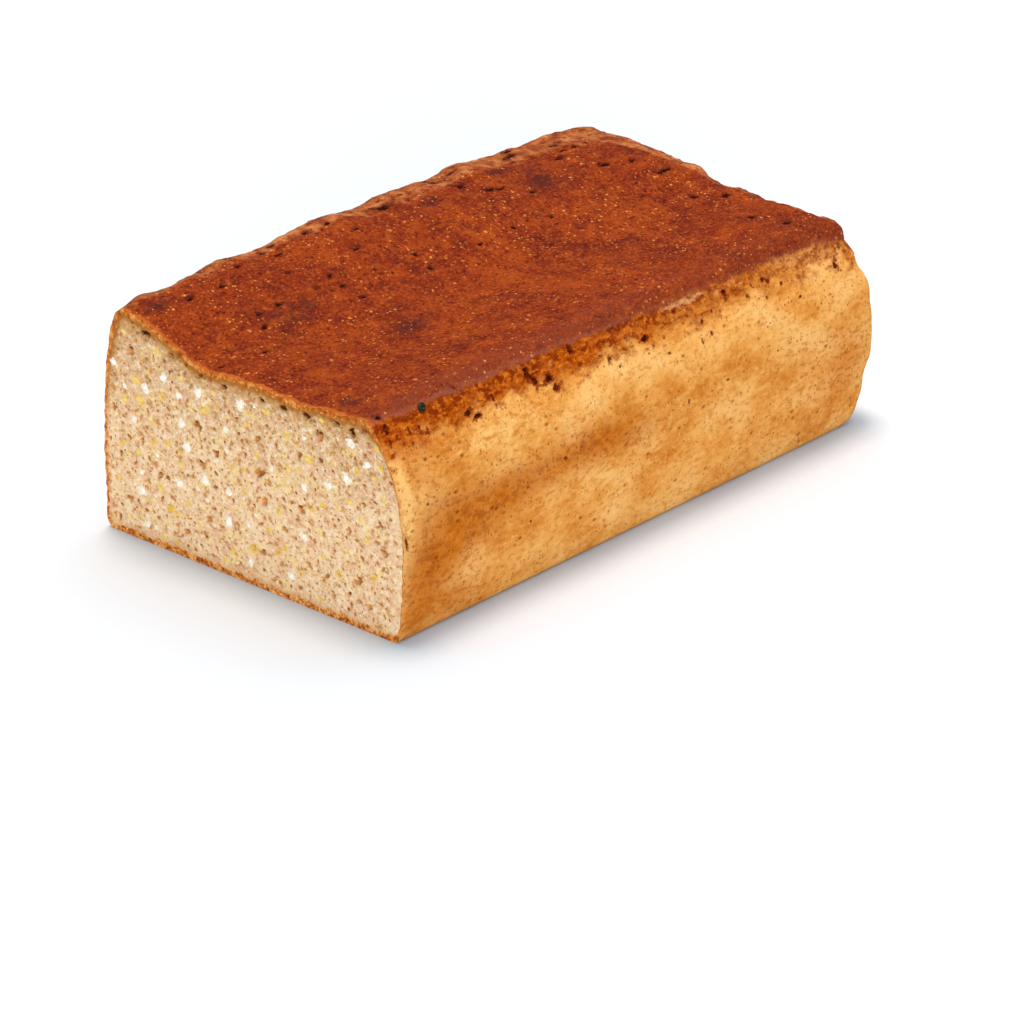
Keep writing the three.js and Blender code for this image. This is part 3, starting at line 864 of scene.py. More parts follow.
CRUMB_ITEMS = [  # kind, count, radius, flatness, depth of a dent or how proud a grain stands
    ("gap", 10, (1.4, 2.6), 0.4, 1.3),
    ("pore", 20, (1.05, 1.5), 0.62, 1.1),
    ("grain", 12, (0.85, 1.2), 0.84, 0.4),
    ("grit", 36, (0.8, 1.25), 0.62, 0.35),
    ("pore", 34, (0.7, 1.0), 0.62, 0.9),
]
UNDER_THE_CRUST = ("gap", "hole")

items = []


def add_item(group, place, radius, turn):
    kind, _, _, flatness, depth = group
    items.append({"kind": kind, "across": place[0], "up": place[1], "radius": radius,
                  "flatness": flatness, "depth": depth, "turn": turn})


def clear_places(clear, groups):
    """The places that the photograph shows, each with the group of its kind."""
    for kind, places in clear.items():
        group = next(group for group in groups if group[0] == kind)
        for across, up, radius in places:
            yield group, (across, up), radius


def try_place(draw, kind, radius):
    """One place on the cut, in the crumb or, for a gap, just under the top crust."""
    across = (2 * draw() - 1) * (HALF_WIDTH - CRUMB_MARGIN - radius)
    ceiling = float(top_height(0.0, across / BASE_WIDTH + 0.5)) - CRUST_THICKNESS - radius
    if kind in UNDER_THE_CRUST:
        up = ceiling + radius / 2
    else:
        up = mix((CRUMB_MARGIN + radius, ceiling), draw())
    return across * (1 + float(side_swell(up / FULL_HEIGHT, 0.5))), up


def free_room(place, radius):
    """Distance to the nearest item that is already there, past both their radii."""
    others = np.array([(item["across"], item["up"], item["radius"]) for item in items])
    distance = np.hypot(others[:, 0] - place[0], others[:, 1] - place[1])
    return (distance - ITEM_GAP * (radius + others[:, 2])).min()


def spread(draw, groups):
    """Adds each group's items, the largest groups first."""
    for group in groups:
        kind, count, radii, _, _ = group
        for _ in range(count):
            radius = mix(radii, draw())
            tries = [try_place(draw, kind, radius) for _ in range(SPREAD_TRIES)]
            rooms = [free_room(place, radius) for place in tries]
            turn = 0.0 if kind in UNDER_THE_CRUST else draw()
            best = int(np.argmax(rooms))
            if rooms[best] > 0:
                add_item(group, tries[best], radius, turn)


crumb_draw = seeded_draw(CRUMB_SEED)
for group, place, radius in clear_places(CLEAR_ITEMS, CRUMB_ITEMS):
    add_item(group, place, radius, crumb_draw())
spread(crumb_draw, CRUMB_ITEMS)
print(len(items), "items of the solid's cut face")

# %% Finer items, which the solid leaves out
FINE_SEED = 71
LEAST_ROOM = -0.5
CLEAR_FINE = {  # across, up, radius
    "hole": [
        (51.0, 68.7, 1.2), (41.3, 67.2, 1.5), (27.3, 66.8, 1.3), (6.8, 62.8, 1.8),
        (-11.4, 62.2, 1.7), (-27.4, 63.6, 1.6), (-43.3, 62.1, 1.5), (-47.6, 62.6, 1.1),
    ],
    "pore": [
        (29.7, 63.2, 1.1), (13.9, 27.2, 1.1), (33.8, 24.3, 1.0), (2.0, 45.8, 0.9),
        (-4.3, 47.0, 0.9), (-48.3, 56.1, 1.2), (-30.5, 49.2, 1.2), (4.6, 18.2, 1.2),
        (-55.1, 12.5, 1.1), (-45.0, 8.7, 1.2), (-52.4, 30.1, 1.1), (-58.2, 50.6, 1.0),
    ],
    "crumb_grit": [
        (46.0, 52.6, 1.6), (44.7, 46.8, 1.8), (40.7, 41.4, 1.5), (17.2, 51.2, 1.6),
        (-8.6, 58.4, 1.2), (-25.4, 48.1, 1.6), (36.6, 19.9, 1.6), (32.5, 14.6, 1.7),
        (-6.4, 19.2, 1.7), (-2.2, 12.1, 1.8), (8.3, 28.0, 1.4), (-50.0, 41.8, 1.3),
    ],
}
FINE_ITEMS = [
    ("hole", 6, (0.6, 1.0), 0.7, 1.4),
    ("fleck", 10, (0.5, 0.8), 0.75, 0.3),
    ("crumb_grit", 24, (0.6, 1.2), 0.65, 0.25),
    ("pore", 130, (0.45, 0.8), 0.6, 0.8),
    ("pore", 560, (0.26, 0.48), 0.65, 0.9),
]

for group, place, radius in clear_places(CLEAR_FINE, CRUMB_ITEMS + FINE_ITEMS):
    if free_room(place, radius) > LEAST_ROOM:
        add_item(group, place, radius, 0.0)
spread(seeded_draw(FINE_SEED), FINE_ITEMS)
print(len(items), "items with the fine ones")

# %% [markdown]
# ## The crumb
# The crumb is a block that fills the shell from the cut to the baked end. Its front has
# very fine steps, so every pore is a real hollow, and it reaches out to the skin, so that
# the sawn edge of the crust shows on it as it does on a real slice. Its sides turn in
# behind that edge and stay out of sight.

# %% The block of crumb
FACE_STEP = 0.37
CRUMB_WALL = CRUST_WALL + 0.2
CRUMB_SLICE = 1.0
CRUMB_REACHES = [CRUMB_WALL, 12.0, 60.0, 120.0, 180.0, 211.0]
EDGE_INSET = 0.03

slice_high = (CRUMB_SLICE, *box_high[1:])
crumb_steps = [1, *step_counts(box_low[1:], box_high[1:], FACE_STEP)]
crumb_bm = cube_of_steps(box_low, slice_high, crumb_steps)
face_sides = [(1, -HALF_WIDTH), (1, HALF_WIDTH), (2, -BASE_TRIM), (2, FULL_HEIGHT)]
for axis, value in [(0, CRUMB_SLICE), *face_sides]:
    bmesh.ops.delete(crumb_bm, geom=faces_on(crumb_bm, axis, value), context="FACES")
run_back(crumb_bm, CRUMB_REACHES, CRUMB_WALL, EDGE_INSET)
crumb, crumb_box, crumb_inset = finish_shell(crumb_bm, "crumb")
print("crumb has", len(crumb_box), "points and", len(crumb.data.polygons), "faces")

# %% Place the face, so that its edge meets the skin
EDGE_REACH = 8.0
EDGE_SOFTNESS = 0.02

crumb_points, crumb_out = skin(crumb_box)
on_cut = crumb_box[:, 0] < TINY
face_box = crumb_box[on_cut]
plain_face, _ = baked(face_box)
on_edge = np.zeros(len(face_box), bool)
shift = np.zeros_like(plain_face)
weight_sum = np.zeros(len(face_box))
for axis, value in face_sides:
    distance = np.abs(face_box[:, axis] - value)
    on_edge |= distance < TINY
    on_side = face_box.copy()
    on_side[:, axis] = value
    side_skin, side_out = fine_skin(on_side)
    side_shift = side_skin - side_out * EDGE_INSET - baked(on_side)[0]
    weight = 1 / (distance + EDGE_SOFTNESS) ** 2
    fade = 1 - smooth_step(0.0, EDGE_REACH, distance)
    shift += side_shift * (weight * fade)[:, None]
    weight_sum += weight
face_points = plain_face + shift / weight_sum[:, None]
face_points[:, 0] = 0.0
face_points[:, 2] = np.maximum(face_points[:, 2], 0.0)
print("cut face from", face_points.min(0).round(1), "to", face_points.max(0).round(1))

# %% Distance from the sawn edge
RIM_TOP, RIM_BASE, RIM_FAR, RIM_NEAR = 1.75, 2.0, 1.2, 0.25
RIM_CROSSES = (0.3, 0.7)  # share of the width between its near and its far width
RIM_TOP_FROM = (0.76, 0.88)  # shares of the full height
RIM_BASE_TO = (0.0, 0.06)

edge_points = face_points[on_edge]
edge_tree = kdtree.KDTree(len(edge_points))
for i, point in enumerate(edge_points):
    edge_tree.insert(point, i)
edge_tree.balance()
edge_up = edge_points[:, 2] / FULL_HEIGHT
edge_across = edge_points[:, 1] / BASE_WIDTH + 0.5
wall_rim = mix((RIM_NEAR, RIM_FAR), smooth_step(*RIM_CROSSES, edge_across))
rim_width = wall_rim + (RIM_TOP - wall_rim) * smooth_step(*RIM_TOP_FROM, edge_up)
rim_width += (RIM_BASE - wall_rim) * (1 - smooth_step(*RIM_BASE_TO, edge_up))
found = [edge_tree.find(p) for p in face_points]
edge_distance = np.array([distance for _, _, distance in found])
rim_share = edge_distance / rim_width[[i for _, i, _ in found]]
print("rim from", rim_width.min().round(2), "to", rim_width.max().round(2), "mm wide")

# %% Sink the pores
PORE_RAGGED = [(1.7, 1.2), (0.8, 1.1)]  # size and strength of the noise
PORE_DEPTH = 0.65
FACE_GRAIN = [(1.6, 0.2), (0.8, 0.14, 7.0)]  # size, height and shift of the noise
ITEM_NEAR = 2.2  # in radii
DARK_SEED = 14383  # chosen so that the clear pores are about as dark as in the photograph
DARKEST = (0.25, 1.0)
BOWL, PORE_SHADE, SHADING = 1.5, 2.4, 4.0  # how fast these grow from a pore's edge
SHADE_FROM = (-0.45, 0.5)
EDGE_FREE = 0.8

pore_ragged = np.maximum(1 + layered(face_points, PORE_RAGGED), LEAST_RAGGED)


def item_share(item, margin):
    """For the points near an item, 1 in its middle and 0 at its ragged edge."""
    offset = face_points[:, 1:] - (item["across"], item["up"])
    near = np.abs(offset).max(1) < ITEM_NEAR * item["radius"]
    angle = item["turn"] * math.pi
    first = offset[near] @ (math.cos(angle), math.sin(angle)) / item["radius"]
    second = offset[near] @ (-math.sin(angle), math.cos(angle)) / (item["radius"] * item["flatness"])
    square = (first**2 + second**2) * pore_ragged[near] / margin**2
    return near, np.clip(1 - square, 0, 1)


def in_shade(item, near):
    """From 0 at the foot of an item to 1 at its top, where its hollow lies in shade."""
    return smooth_step(*SHADE_FROM, (face_points[near, 2] - item["up"]) / item["radius"])


dents = [item for item in items if item["kind"] in ("pore", "gap", "hole")]
dark_draw = seeded_draw(DARK_SEED)
face_sink, face_void_shade, face_shade, face_pore_shade = np.zeros((4, len(face_points)))
# Beside its real hollow, each dent gets painted shade: browner inside, darker under its upper edge, and
# darkest in the gaps and holes
for item in dents:
    dark = mix(DARKEST, dark_draw())
    near, share = item_share(item, 1.0)
    full_depth = PORE_DEPTH * item["radius"] * item["depth"]
    keep_most(face_sink, near, full_depth * np.clip(BOWL * np.sqrt(share), 0, 1))
    keep_most(face_pore_shade, near, np.clip(PORE_SHADE * share, 0, 1))
    keep_most(face_shade, near, dark * np.clip(SHADING * share, 0, 1) * in_shade(item, near))
    if item["kind"] != "pore":
        keep_most(face_void_shade, near, dark * share)
edge_free = smooth_step(0.0, EDGE_FREE, edge_distance)
face_points[:, 0] += edge_free * (face_sink + layered(face_points, FACE_GRAIN))
print(len(dents), "pores, the deepest", face_sink.max().round(2), "mm")

# %% Soft halos round grains and grits
HALOS = {"grain": "chalk", "fleck": "chalk", "grit": "corn", "crumb_grit": "corn"}
HALO_MARGIN = 1.45

face_halo = {"chalk": np.zeros(len(face_points)), "corn": np.zeros(len(face_points))}
for item in items:
    if item["kind"] in HALOS:
        keep_most(face_halo[HALOS[item["kind"]]], *item_share(item, HALO_MARGIN))
print("halos round", len(items) - len(dents), "grains and grits")

# %% Hand the crumb's points to Blender
CROWN = (30.0, 66.0)

crumb_points = crumb_points - crumb_out * crumb_inset[:, None]
crumb_points[on_cut] = face_points
write_points(crumb.data, crumb_points)
face_values = {"rim": rim_share, "void_shade": face_void_shade, "shade": face_shade, "pore": face_pore_shade,
               "crown": smooth_step(*CROWN, face_points[:, 2]), **face_halo}
for name, values in face_values.items():
    everywhere = np.zeros(len(crumb_points))
    everywhere[on_cut] = values
    write_values(crumb.data, **{name: everywhere})
print("crumb written")

# %% [markdown]
# ## Grains and grits
# Whole white grains and broken yellow grits were cut by the saw, so they lie almost flush
# in the crumb. Each is a small ball of few faces, flattened, pushed about by noise and
# set in its place. All grains of one kind are joined in one mesh.

# %% Make the grains of one kind
BALL_DIVISIONS = 3
WHOLE_BALL = 2.0
GRAIN_THICKNESS = 1.4
GRAIN_OUTSET = 0.4
GRAIN_UNEVEN, GRAIN_LUMPS = 0.6, 1.3


def add_ball(bm, half_sizes, turn, centre, uneven, bumps, apart=(0, 0, 0), cut=WHOLE_BALL):
    """An uneven ball, cut flat in front, then drawn out, turned and put in its place."""
    verts = bmesh.ops.create_icosphere(bm, subdivisions=BALL_DIVISIONS, radius=1.0)["verts"]
    for vert in verts:
        vert.co *= 1 + uneven * noise.noise(vert.co * bumps + Vector(apart))
        vert.co.x = max(vert.co.x, -cut)
    bmesh.ops.scale(bm, vec=half_sizes, verts=verts)
    bmesh.ops.rotate(bm, cent=(0, 0, 0), matrix=turn, verts=verts)
    bmesh.ops.translate(bm, vec=centre, verts=verts)


def finish_small(bm, name):
    """The object of a bmesh whose points are given in loaf millimetres."""
    made = finish_mesh(bm, name)
    write_points(made.data, read_points(made.data))
    print(name, "has", len(made.data.polygons), "faces")
    return made


def make_grains(name, kinds, cut):
    bm = bmesh.new()
    for item in (item for item in items if item["kind"] in kinds):
        across, up, radius, depth = (item[key] for key in ("across", "up", "radius", "depth"))
        half_sizes = (depth * GRAIN_THICKNESS, radius, radius * item["flatness"])
        turn = Matrix.Rotation(item["turn"] * math.pi, 3, "X")
        centre = (depth * GRAIN_OUTSET, across, up)
        add_ball(bm, half_sizes, turn, centre, GRAIN_UNEVEN, GRAIN_LUMPS, (across, up, 0.0), cut)
    return finish_small(bm, name)


white_grains = make_grains("white_grains", ("grain", "fleck"), 0.6)
yellow_grits = make_grains("yellow_grits", ("grit", "crumb_grit"), 0.5)

# %% [markdown]
# ## A dark seed on the shoulder
# One dark seed is baked into the near shoulder close to the cut. It is one more uneven
# ball, longer than it is wide and pressed into the crust.

# %% Make the seed
SEED_PLACE = (19.6, 66.2)  # mm from the cut, mm above the base
SEED_HALF = (1.7, 1.35, 1.1)
SEED_UNEVEN, SEED_LUMPS = 0.12, 1.7

(seed_centre,), (seed_out,) = skin([near_place(*SEED_PLACE)])
seed_turn = Vector(seed_out).to_track_quat("Z", "X").to_matrix()
seed_bm = bmesh.new()
add_ball(seed_bm, SEED_HALF, seed_turn, seed_centre, SEED_UNEVEN, SEED_LUMPS)
dark_seed = finish_small(seed_bm, "dark_seed")
print("seed at", seed_centre.round(1))


# %% [markdown]
# ## Materials
# Every finish is a short recipe of noise and spots in real millimetres. The helper below
# adds one shader node for each call, so that a recipe reads from top to bottom. Colours
# are given as they show in a picture and turned into light values.

# %% A helper for recipes
SPECULAR = 0.01
KEPT_SOFTNESS = 0.02


def seen(red, green, blue):
    """A colour as seen in a picture, 0 to 255, as linear light."""
    parts = [value / 255 for value in (red, green, blue)]
    linear = [p / 12.92 if p <= 0.04045 else ((p + 0.055) / 1.055) ** 2.4 for p in parts]
    return (*linear, 1.0)


class Recipe:
    """Adds nodes to one material, each with its inputs as numbers or as other nodes."""

    def __init__(self, name):
        self.material = bpy.data.materials.new(name)
        self.material.use_nodes = True
        self.tree = self.material.node_tree
        self.shader = self.tree.nodes["Principled BSDF"]
        self.place = self.node("ShaderNodeTexCoord").outputs["Object"]
        self.place = self.scaled([1 / METRES] * 3)

    def node(self, kind, inputs=(), **settings):
        made = self.tree.nodes.new(kind)
        for name, value in settings.items():
            setattr(made, name, value)
        self.feed(made, dict(inputs))
        return made

    def feed(self, node, inputs):
        for name, value in inputs.items():
            if isinstance(value, bpy.types.NodeSocket):
                self.tree.links.new(value, node.inputs[name])
            else:
                node.inputs[name].default_value = value

    def scaled(self, scale, shift=0.0):
        """The place on the object, scaled along each axis and shifted."""
        inputs = {"Vector": self.place, "Scale": scale, "Location": [shift] * 3}
        return self.node("ShaderNodeMapping", inputs).outputs["Vector"]

    def noise(self, size, detail=3.0, rough=0.55, stretch=(1, 1, 1), shift=0.0):
        """Cloudy noise, 0 to 1, with clouds of one size in millimetres."""
        place = self.scaled([1 / (size * part) for part in stretch], shift)
        inputs = {"Vector": place, "Scale": 1.0, "Detail": detail, "Roughness": rough}
        return self.node("ShaderNodeTexNoise", inputs).outputs[0]

    def dots(self, spacing, radius, share, soft=0.5, stretch=(1, 1, 1)):
        """Small round dots, 1 inside, spaced in millimetres, with a share of them kept."""
        place = self.scaled([1 / part for part in stretch])
        cells = self.node("ShaderNodeTexVoronoi", {"Vector": place, "Scale": 1 / spacing}).outputs
        kept = self.node("ShaderNodeSeparateColor", {"Color": cells["Color"]}).outputs[0]
        rim, heart = (radius * (1 + side * soft) / spacing for side in (1, -1))
        kept = self.step(kept, share + KEPT_SOFTNESS, share)
        return self.times(kept, self.step(cells["Distance"], rim, heart))

    def own(self, name):
        """One of the numbers that were kept for each vertex."""
        return self.node("ShaderNodeAttribute", attribute_name=name).outputs["Fac"]

    def step(self, value, start, end, last=1.0, first=0.0):
        """Fades from the first amount to the last while the value goes from start to end."""
        inputs = {"Value": value, "From Min": start, "From Max": end, "To Min": first, "To Max": last}
        return self.node("ShaderNodeMapRange", inputs, interpolation_type="SMOOTHSTEP").outputs["Result"]

    def join(self, operation, value, *others):
        """Works one value after the other into the first."""
        for other in others:
            value = self.node("ShaderNodeMath", {0: value, 1: other}, operation=operation).outputs[0]
        return value

    def sum(self, *values):
        return self.join("ADD", *values)

    def times(self, *values):
        return self.join("MULTIPLY", *values)

    def most(self, *values):
        return self.join("MAXIMUM", *values)

    def around(self, value, size):
        """Noise that swings round zero, as far as a size."""
        return self.times(self.sum(value, -0.5), size)

    def ragged(self, name, value, size, start, end, last=1.0):
        """A step in one of the kept numbers, whose edge noise has made uneven."""
        return self.step(self.sum(self.own(name), self.around(value, size)), start, end, last)

    def colours(self, value, *stops):
        """A ramp through the colours, each with its place from 0 to 1."""
        made = self.node("ShaderNodeValToRGB", {"Fac": value})
        ramp = made.color_ramp
        while len(ramp.elements) < len(stops):
            ramp.elements.new(0.5)
        for element, (place, colour) in zip(ramp.elements, stops):
            element.position = place
            element.color = seen(*colour)
        return made.outputs["Color"]

    def light(self, colour):
        return colour if isinstance(colour, bpy.types.NodeSocket) else seen(*colour)

    def paint(self, under, *coats):
        """Lays coats over what is there, each a colour and its amount from 0 to 1."""
        for colour, amount in coats:
            inputs = {0: amount, 6: self.light(under), 7: self.light(colour)}
            under = self.node("ShaderNodeMix", inputs, data_type="RGBA").outputs[2]
        return under

    def finish(self, colour, rough, relief):
        """Sets the shader's colour, roughness and relief, the relief in millimetres."""
        bump = self.node("ShaderNodeBump", {"Strength": 1.0, "Distance": METRES, "Height": relief})
        self.feed(self.shader, {"Base Color": colour, "Normal": bump.outputs["Normal"],
                                "Roughness": rough, "Specular IOR Level": SPECULAR})
        return self.material


print("recipes measure in millimetres")

# %% [markdown]
# ### The golden sides
# The long side lay against the tin: it is a dull golden tan with cloudy orange-brown
# patches and fine pinholes. Under the brown edge runs an uneven darker band with red-brown
# streaks, where the dough tore as it rose.

# %% The sides' colour
DRAGGED = (1.6, 1, 1)

r = Recipe("baked_crust")
rise = r.own("rise")
cloud = r.own("cloud")
wide_clouds = r.noise(15.0, 3.0, 0.6, DRAGGED)
small_clouds = r.noise(3.4, 6.0, 0.68, DRAGGED, 3.0)
grunge = r.noise(1.5, 5.0, 0.66, DRAGGED, 6.0)
fine_grain = r.noise(0.7, 3.0, 0.6, DRAGGED, 9.0)
cloudy = r.sum(cloud, r.around(small_clouds, 2.0))
lit = r.sum(r.own("light"), r.around(small_clouds, 1.4), r.around(grunge, 1.2))
dotted = r.step(r.noise(10.0, 2.0, 0.5, shift=52.0), 0.42, 0.56, 0.9, 0.3)
soft_dots = r.most(r.dots(1.7, 0.30, 0.55, 0.8), r.dots(3.1, 0.48, 0.5, 0.8, DRAGGED))
pinholes = r.most(r.dots(4.2, 0.20, 0.3), r.dots(7.3, 0.36, 0.4))
side_colour = r.paint(
    r.colours(wide_clouds, (0.32, (206, 124, 44)), (0.45, (225, 152, 71)),
              (0.57, (236, 172, 94)), (0.70, (243, 187, 113))),
    ((244, 194, 118), r.step(grunge, 0.52, 0.68, 0.4)),
    ((194, 103, 14), r.step(cloudy, 0.05, 1.0, 0.8)),
    ((164, 76, 12), r.times(cloud, r.step(small_clouds, 0.53, 0.38), 0.8)),
    ((148, 62, 8), r.times(cloud, r.step(grunge, 0.49, 0.36), 0.75)),
    ((244, 190, 114), r.step(lit, 0.15, 0.85, 0.85)),
    ((190, 108, 40), r.step(grunge, 0.48, 0.36, 0.5)),
    ((160, 84, 30), r.step(fine_grain, 0.39, 0.30, 0.6)),
    ((148, 64, 8), r.times(soft_dots, r.sum(dotted, r.times(cloud, 0.3)))),
    ((116, 50, 14), r.times(pinholes, 0.8)),
)
print("sides mixed")

# %% The torn band under the brown edge
band_drop = r.around(r.noise(11.0, 2.0, 0.5, shift=5.0), 15.0)
band_edge = r.sum(rise, band_drop, r.around(small_clouds, 17.0), r.around(grunge, 7.0))
band_amount = r.times(r.step(band_edge, -10.0, -4.0, 0.95), r.own("torn"))
band_colour = r.colours(grunge, (0.34, (124, 42, 2)), (0.5, (164, 70, 4)), (0.66, (204, 112, 20)))
tear = r.noise(2.0, 5.0, 0.7, (1.5, 1, 1), 12.0)
tear_amount = r.step(r.sum(tear, r.times(r.step(rise, -10.0, 0.0), 0.06)), 0.53, 0.62)
under_edge = r.times(r.step(rise, -22.0, -6.0), r.dots(1.8, 0.32, 0.6, 0.7))
stain = r.sum(r.own("stain"), r.around(tear, 2.8))
floury = r.ragged("pale", grunge, 3.0, 0.4, 1.1, 0.6)
side_colour = r.paint(
    side_colour,
    (band_colour, band_amount),
    ((112, 32, 4), r.times(tear_amount, band_amount, 0.9)),
    ((112, 36, 4), r.times(under_edge, 0.7)),
    ((112, 34, 6), r.step(stain, 0.45, 0.88, 0.85)),
    ((208, 158, 112), r.times(floury, r.step(r.own("pale"), 0.0, 0.3))),
)
print("band mixed")

# %% [markdown]
# ### The mahogany top
# The top baked darkest. Its red-brown is mottled with orange, and carries hundreds of
# tiny golden specks, pits darkened with painted shade and a few purple-black burnt
# patches. Along the far ridge it is paler and more orange, and along the near shoulder
# lies a painted sheen.

# %% The top's colour
top_clouds = r.noise(15.0, 3.0, 0.6, shift=21.0)
top_patch = r.noise(5.5, 4.0, 0.58, shift=33.0)
top_mottle = r.noise(2.4, 4.0, 0.6, shift=17.0)
top_fine = r.noise(1.0, 3.0, 0.6, shift=19.0)
ridge_colour = r.colours(top_patch, (0.37, (124, 60, 36)), (0.5, (162, 92, 48)), (0.63, (192, 122, 74)))
clusters = r.step(r.noise(13.0, 2.0, 0.5, shift=27.0), 0.42, 0.56, 1.0, 0.15)
specks = r.most(r.dots(1.6, 0.27, 0.55), r.dots(3.3, 0.48, 0.45), r.dots(2.4, 0.35, 0.42))
dark_strokes = r.step(r.noise(2.2, 3.0, 0.6, shift=41.0), 0.35, 0.28, 0.85)
top_colour = r.paint(
    r.colours(top_clouds, (0.34, (111, 38, 20)), (0.46, (123, 44, 18)),
              (0.58, (133, 51, 18)), (0.72, (146, 62, 21))),
    ((92, 28, 20), r.step(top_patch, 0.47, 0.34, 0.65)),
    ((156, 68, 22), r.step(top_patch, 0.53, 0.67, 0.6)),
    ((164, 72, 26), r.step(top_mottle, 0.53, 0.70, 0.6)),
    ((82, 22, 12), r.step(top_mottle, 0.46, 0.31, 0.65)),
    ((170, 82, 32), r.step(top_fine, 0.54, 0.68, 0.7)),
    ((72, 18, 10), r.step(top_fine, 0.44, 0.31, 0.9)),
    (ridge_colour, r.ragged("ridge", top_mottle, 2.6, 0.35, 1.2, 0.85)),
    # Painted sheen: a lighter mauve-brown reflection along the near shoulder
    ((126, 59, 40), r.times(r.own("sheen"), r.step(top_mottle, 0.34, 0.62, 0.2, 0.75))),
    ((70, 28, 26), r.ragged("burnt", top_mottle, 3.0, 0.28, 1.1, 0.8)),
    ((210, 136, 66), r.times(specks, clusters, 0.85)),
    ((50, 14, 8), dark_strokes),
    ((70, 24, 16), r.step(stain, 0.45, 0.95, 0.75)),
)
print("top mixed")

# %% Join top and sides, and paint shade into the pits
top_edge = r.sum(rise, r.around(small_clouds, 4.0), r.around(grunge, 2.0))
top_amount = r.step(top_edge, -1.0, 0.8)
# A thin painted highlight along the brown edge, inside the painted sheen
painted_highlight_line = r.times(r.step(top_edge, -0.6, 0.2), r.step(top_edge, 1.5, 0.6), r.own("sheen"), 0.35)
top_colour = r.paint(
    top_colour,
    ((158, 94, 72), painted_highlight_line),
    ((180, 92, 40), r.ragged("sawn", small_clouds, 1.8, 0.3, 0.9, 0.85)),
)
# Painted shade: the pits are darkened in the colour, as shade inside a hole would darken them
pit_shade_colour = r.paint(
    (50, 14, 6),
    ((108, 38, 10), r.step(grunge, 0.42, 0.58)),
    ((46, 15, 9), top_amount),
)
crust_colour = r.paint(
    side_colour,
    (top_colour, top_amount),
    (pit_shade_colour, r.ragged("pit", grunge, 1.2, 0.28, 0.9)),
)
top_relief = r.sum(r.around(top_mottle, 0.8), r.around(top_fine, 0.2), r.around(top_patch, 1.2))
crust_relief = r.sum(
    r.times(fine_grain, 0.12), r.times(small_clouds, 0.30), r.times(grunge, 0.25),
    r.times(pinholes, -0.1), r.times(top_relief, top_amount),
)
crust_rough = r.step(top_amount, 0.0, 1.0, 0.6, 0.8)
crust.data.materials.append(r.finish(crust_colour, rough=crust_rough, relief=crust_relief))
print("crust material has", len(r.tree.nodes), "nodes")

# %% [markdown]
# ### The crumb
# Fresh crumb is a moist pinkish beige with a fine mottling of bran. It darkens towards
# the crust, and its sawn edge is the crust itself, orange-brown on top and below and
# hardly there at the near side. Pores and gaps carry painted shade: brown inside, and
# darkest under their upper edge.

# %% The crumb's colour
PRESSED = (1, 1.3, 1)

r = Recipe("fresh_crumb")
rim = r.own("rim")
crown = r.own("crown")
wide = r.noise(8.0, 3.0, 0.6)
bran = r.noise(1.9, 5.0, 0.66, PRESSED, 4.0)
fine = r.noise(0.9, 3.0, 0.6, PRESSED, 8.0)
maize = r.noise(3.6, 4.0, 0.6, PRESSED, 15.0)
near_rim = r.step(r.sum(rim, r.around(bran, 3.0)), 5.0, 1.0, 0.8)
specks = r.most(r.dots(1.7, 0.26, 0.45, 0.8), r.dots(2.8, 0.38, 0.45, 0.8))
crown_specks = r.times(r.dots(2.3, 0.55, 0.4, 0.8, PRESSED), crown)
pore_shade_colour = r.colours(r.noise(5.0, 2.0, shift=61.0), (0.4, (176, 98, 28)), (0.6, (212, 144, 68)))
ragged_rim = r.sum(rim, r.around(r.noise(2.6, 6.0, 0.7, shift=14.0), 3.0))
rim_colour = r.paint(
    r.colours(r.noise(1.4, 5.0, 0.72, shift=44.0), (0.38, (108, 36, 6)), (0.46, (190, 96, 28)),
              (0.55, (230, 146, 62)), (0.64, (252, 194, 118))),
    ((196, 110, 44), r.times(crown, 0.35)),
)
crumb_colour = r.paint(
    r.colours(wide, (0.3, (228, 183, 137)), (0.5, (239, 200, 154)), (0.7, (246, 210, 166))),
    ((206, 161, 113), r.times(crown, 0.75)),
    ((243, 208, 134), r.step(maize, 0.53, 0.66, 0.75)),
    ((230, 176, 140), r.step(maize, 0.47, 0.34, 0.75)),
    ((255, 238, 212), r.step(bran, 0.54, 0.66, 0.6)),
    ((255, 236, 208), r.step(fine, 0.54, 0.70, 0.7)),
    ((192, 142, 80), r.times(near_rim, crown)),
    ((194, 132, 72), r.step(bran, 0.475, 0.345, 0.95)),
    ((166, 102, 48), r.step(fine, 0.41, 0.28, 0.8)),
    ((132, 72, 24), r.times(specks, 0.9)),
    ((116, 62, 16), r.times(crown_specks, 0.8)),
    ((234, 198, 104), r.ragged("corn", bran, 1.6, 0.05, 0.7, 0.85)),
    ((250, 238, 220), r.ragged("chalk", fine, 1.0, 0.05, 0.5, 0.8)),
    # Painted shade in the pores, under their upper edges, and in the gaps and holes
    (pore_shade_colour, r.ragged("pore", fine, 0.7, 0.15, 0.85, 0.9)),
    ((84, 30, 2), r.ragged("shade", fine, 0.5, 0.1, 0.9, 0.95)),
    ((78, 34, 12), r.ragged("void_shade", fine, 0.3, 0.08, 0.35, 0.95)),
    ((218, 154, 88), r.step(ragged_rim, 2.4, 1.0, 0.5)),
    ((158, 90, 32), r.times(r.step(ragged_rim, 2.2, 1.2, 0.8), crown)),
    (rim_colour, r.step(ragged_rim, 1.15, 0.75, 0.95)),
)
crumb_relief = r.sum(r.times(bran, 0.5), r.times(fine, 0.3))
crumb.data.materials.append(r.finish(crumb_colour, rough=0.8, relief=crumb_relief))
print("crumb material has", len(r.tree.nodes), "nodes")

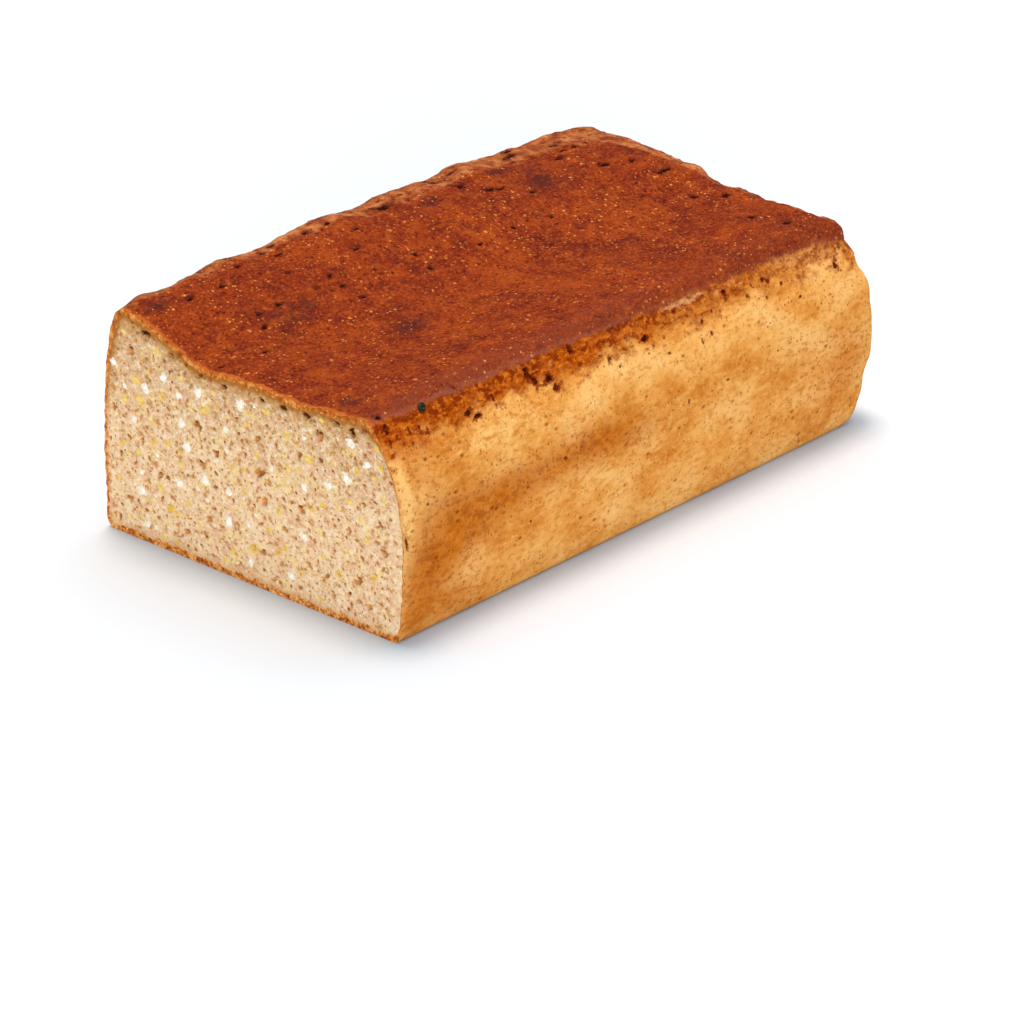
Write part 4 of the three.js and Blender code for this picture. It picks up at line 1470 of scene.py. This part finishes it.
# %% [markdown]
# ### Grains, grits and the seed
# The white grains are chalky with a faintly yellow edge. The grits are a soft corn yellow
# that varies from piece to piece. The seed is nearly black, with a dull shine.

# %% Colours of the small pieces
def fine_relief(recipe, size, height):
    """Even fine grain, of a size and a height in millimetres."""
    return recipe.times(recipe.noise(size), height)


r = Recipe("white_grain")
grain_colour = r.colours(r.noise(1.2, 3.0), (0.38, (240, 220, 186)), (0.58, (254, 248, 236)))
grain_finish = r.finish(grain_colour, rough=0.6, relief=fine_relief(r, 0.5, 0.12))
white_grains.data.materials.append(grain_finish)

r = Recipe("yellow_grit")
grit_noise = r.sum(r.times(r.noise(4.0, 2.0), 0.6), r.times(r.noise(0.9, 3.0), 0.4))
grit_colour = r.colours(grit_noise, (0.36, (212, 154, 60)), (0.47, (236, 188, 84)),
                        (0.56, (242, 206, 124)), (0.66, (246, 216, 158)))
grit_finish = r.finish(grit_colour, rough=0.6, relief=fine_relief(r, 0.6, 0.12))
yellow_grits.data.materials.append(grit_finish)

r = Recipe("seed_skin")
seed_colour = r.colours(r.noise(0.8, 3.0), (0.35, (30, 24, 18)), (0.6, (58, 52, 40)),
                        (0.75, (96, 90, 74)))
seed_finish = r.finish(seed_colour, rough=0.4, relief=fine_relief(r, 0.4, 0.1))
dark_seed.data.materials.append(seed_finish)
print("small pieces painted")

# %% [markdown]
# ## Tie the pieces to the frame
# All pieces stand for the one solid of the loaf and ride on its body.

# %% Ride and replace
for piece, slot_name in ((crust, "crust"), (crumb, "crumb"), (white_grains, "white_grain"),
                         (yellow_grits, "yellow_grit"), (dark_seed, "crust")):
    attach(piece, "root")
    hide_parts("loaf")
    triangles = sum(len(p.vertices) - 2 for p in piece.data.polygons)
    print(piece.name, triangles, "triangles")

# %% Compare the boxes and finish
new_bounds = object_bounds()
for name, (low, high) in (("solid", cad_bounds), ("dressed", new_bounds)):
    print(name, [round(float(v), 4) for v in low], [round(float(v), 4) for v in high])
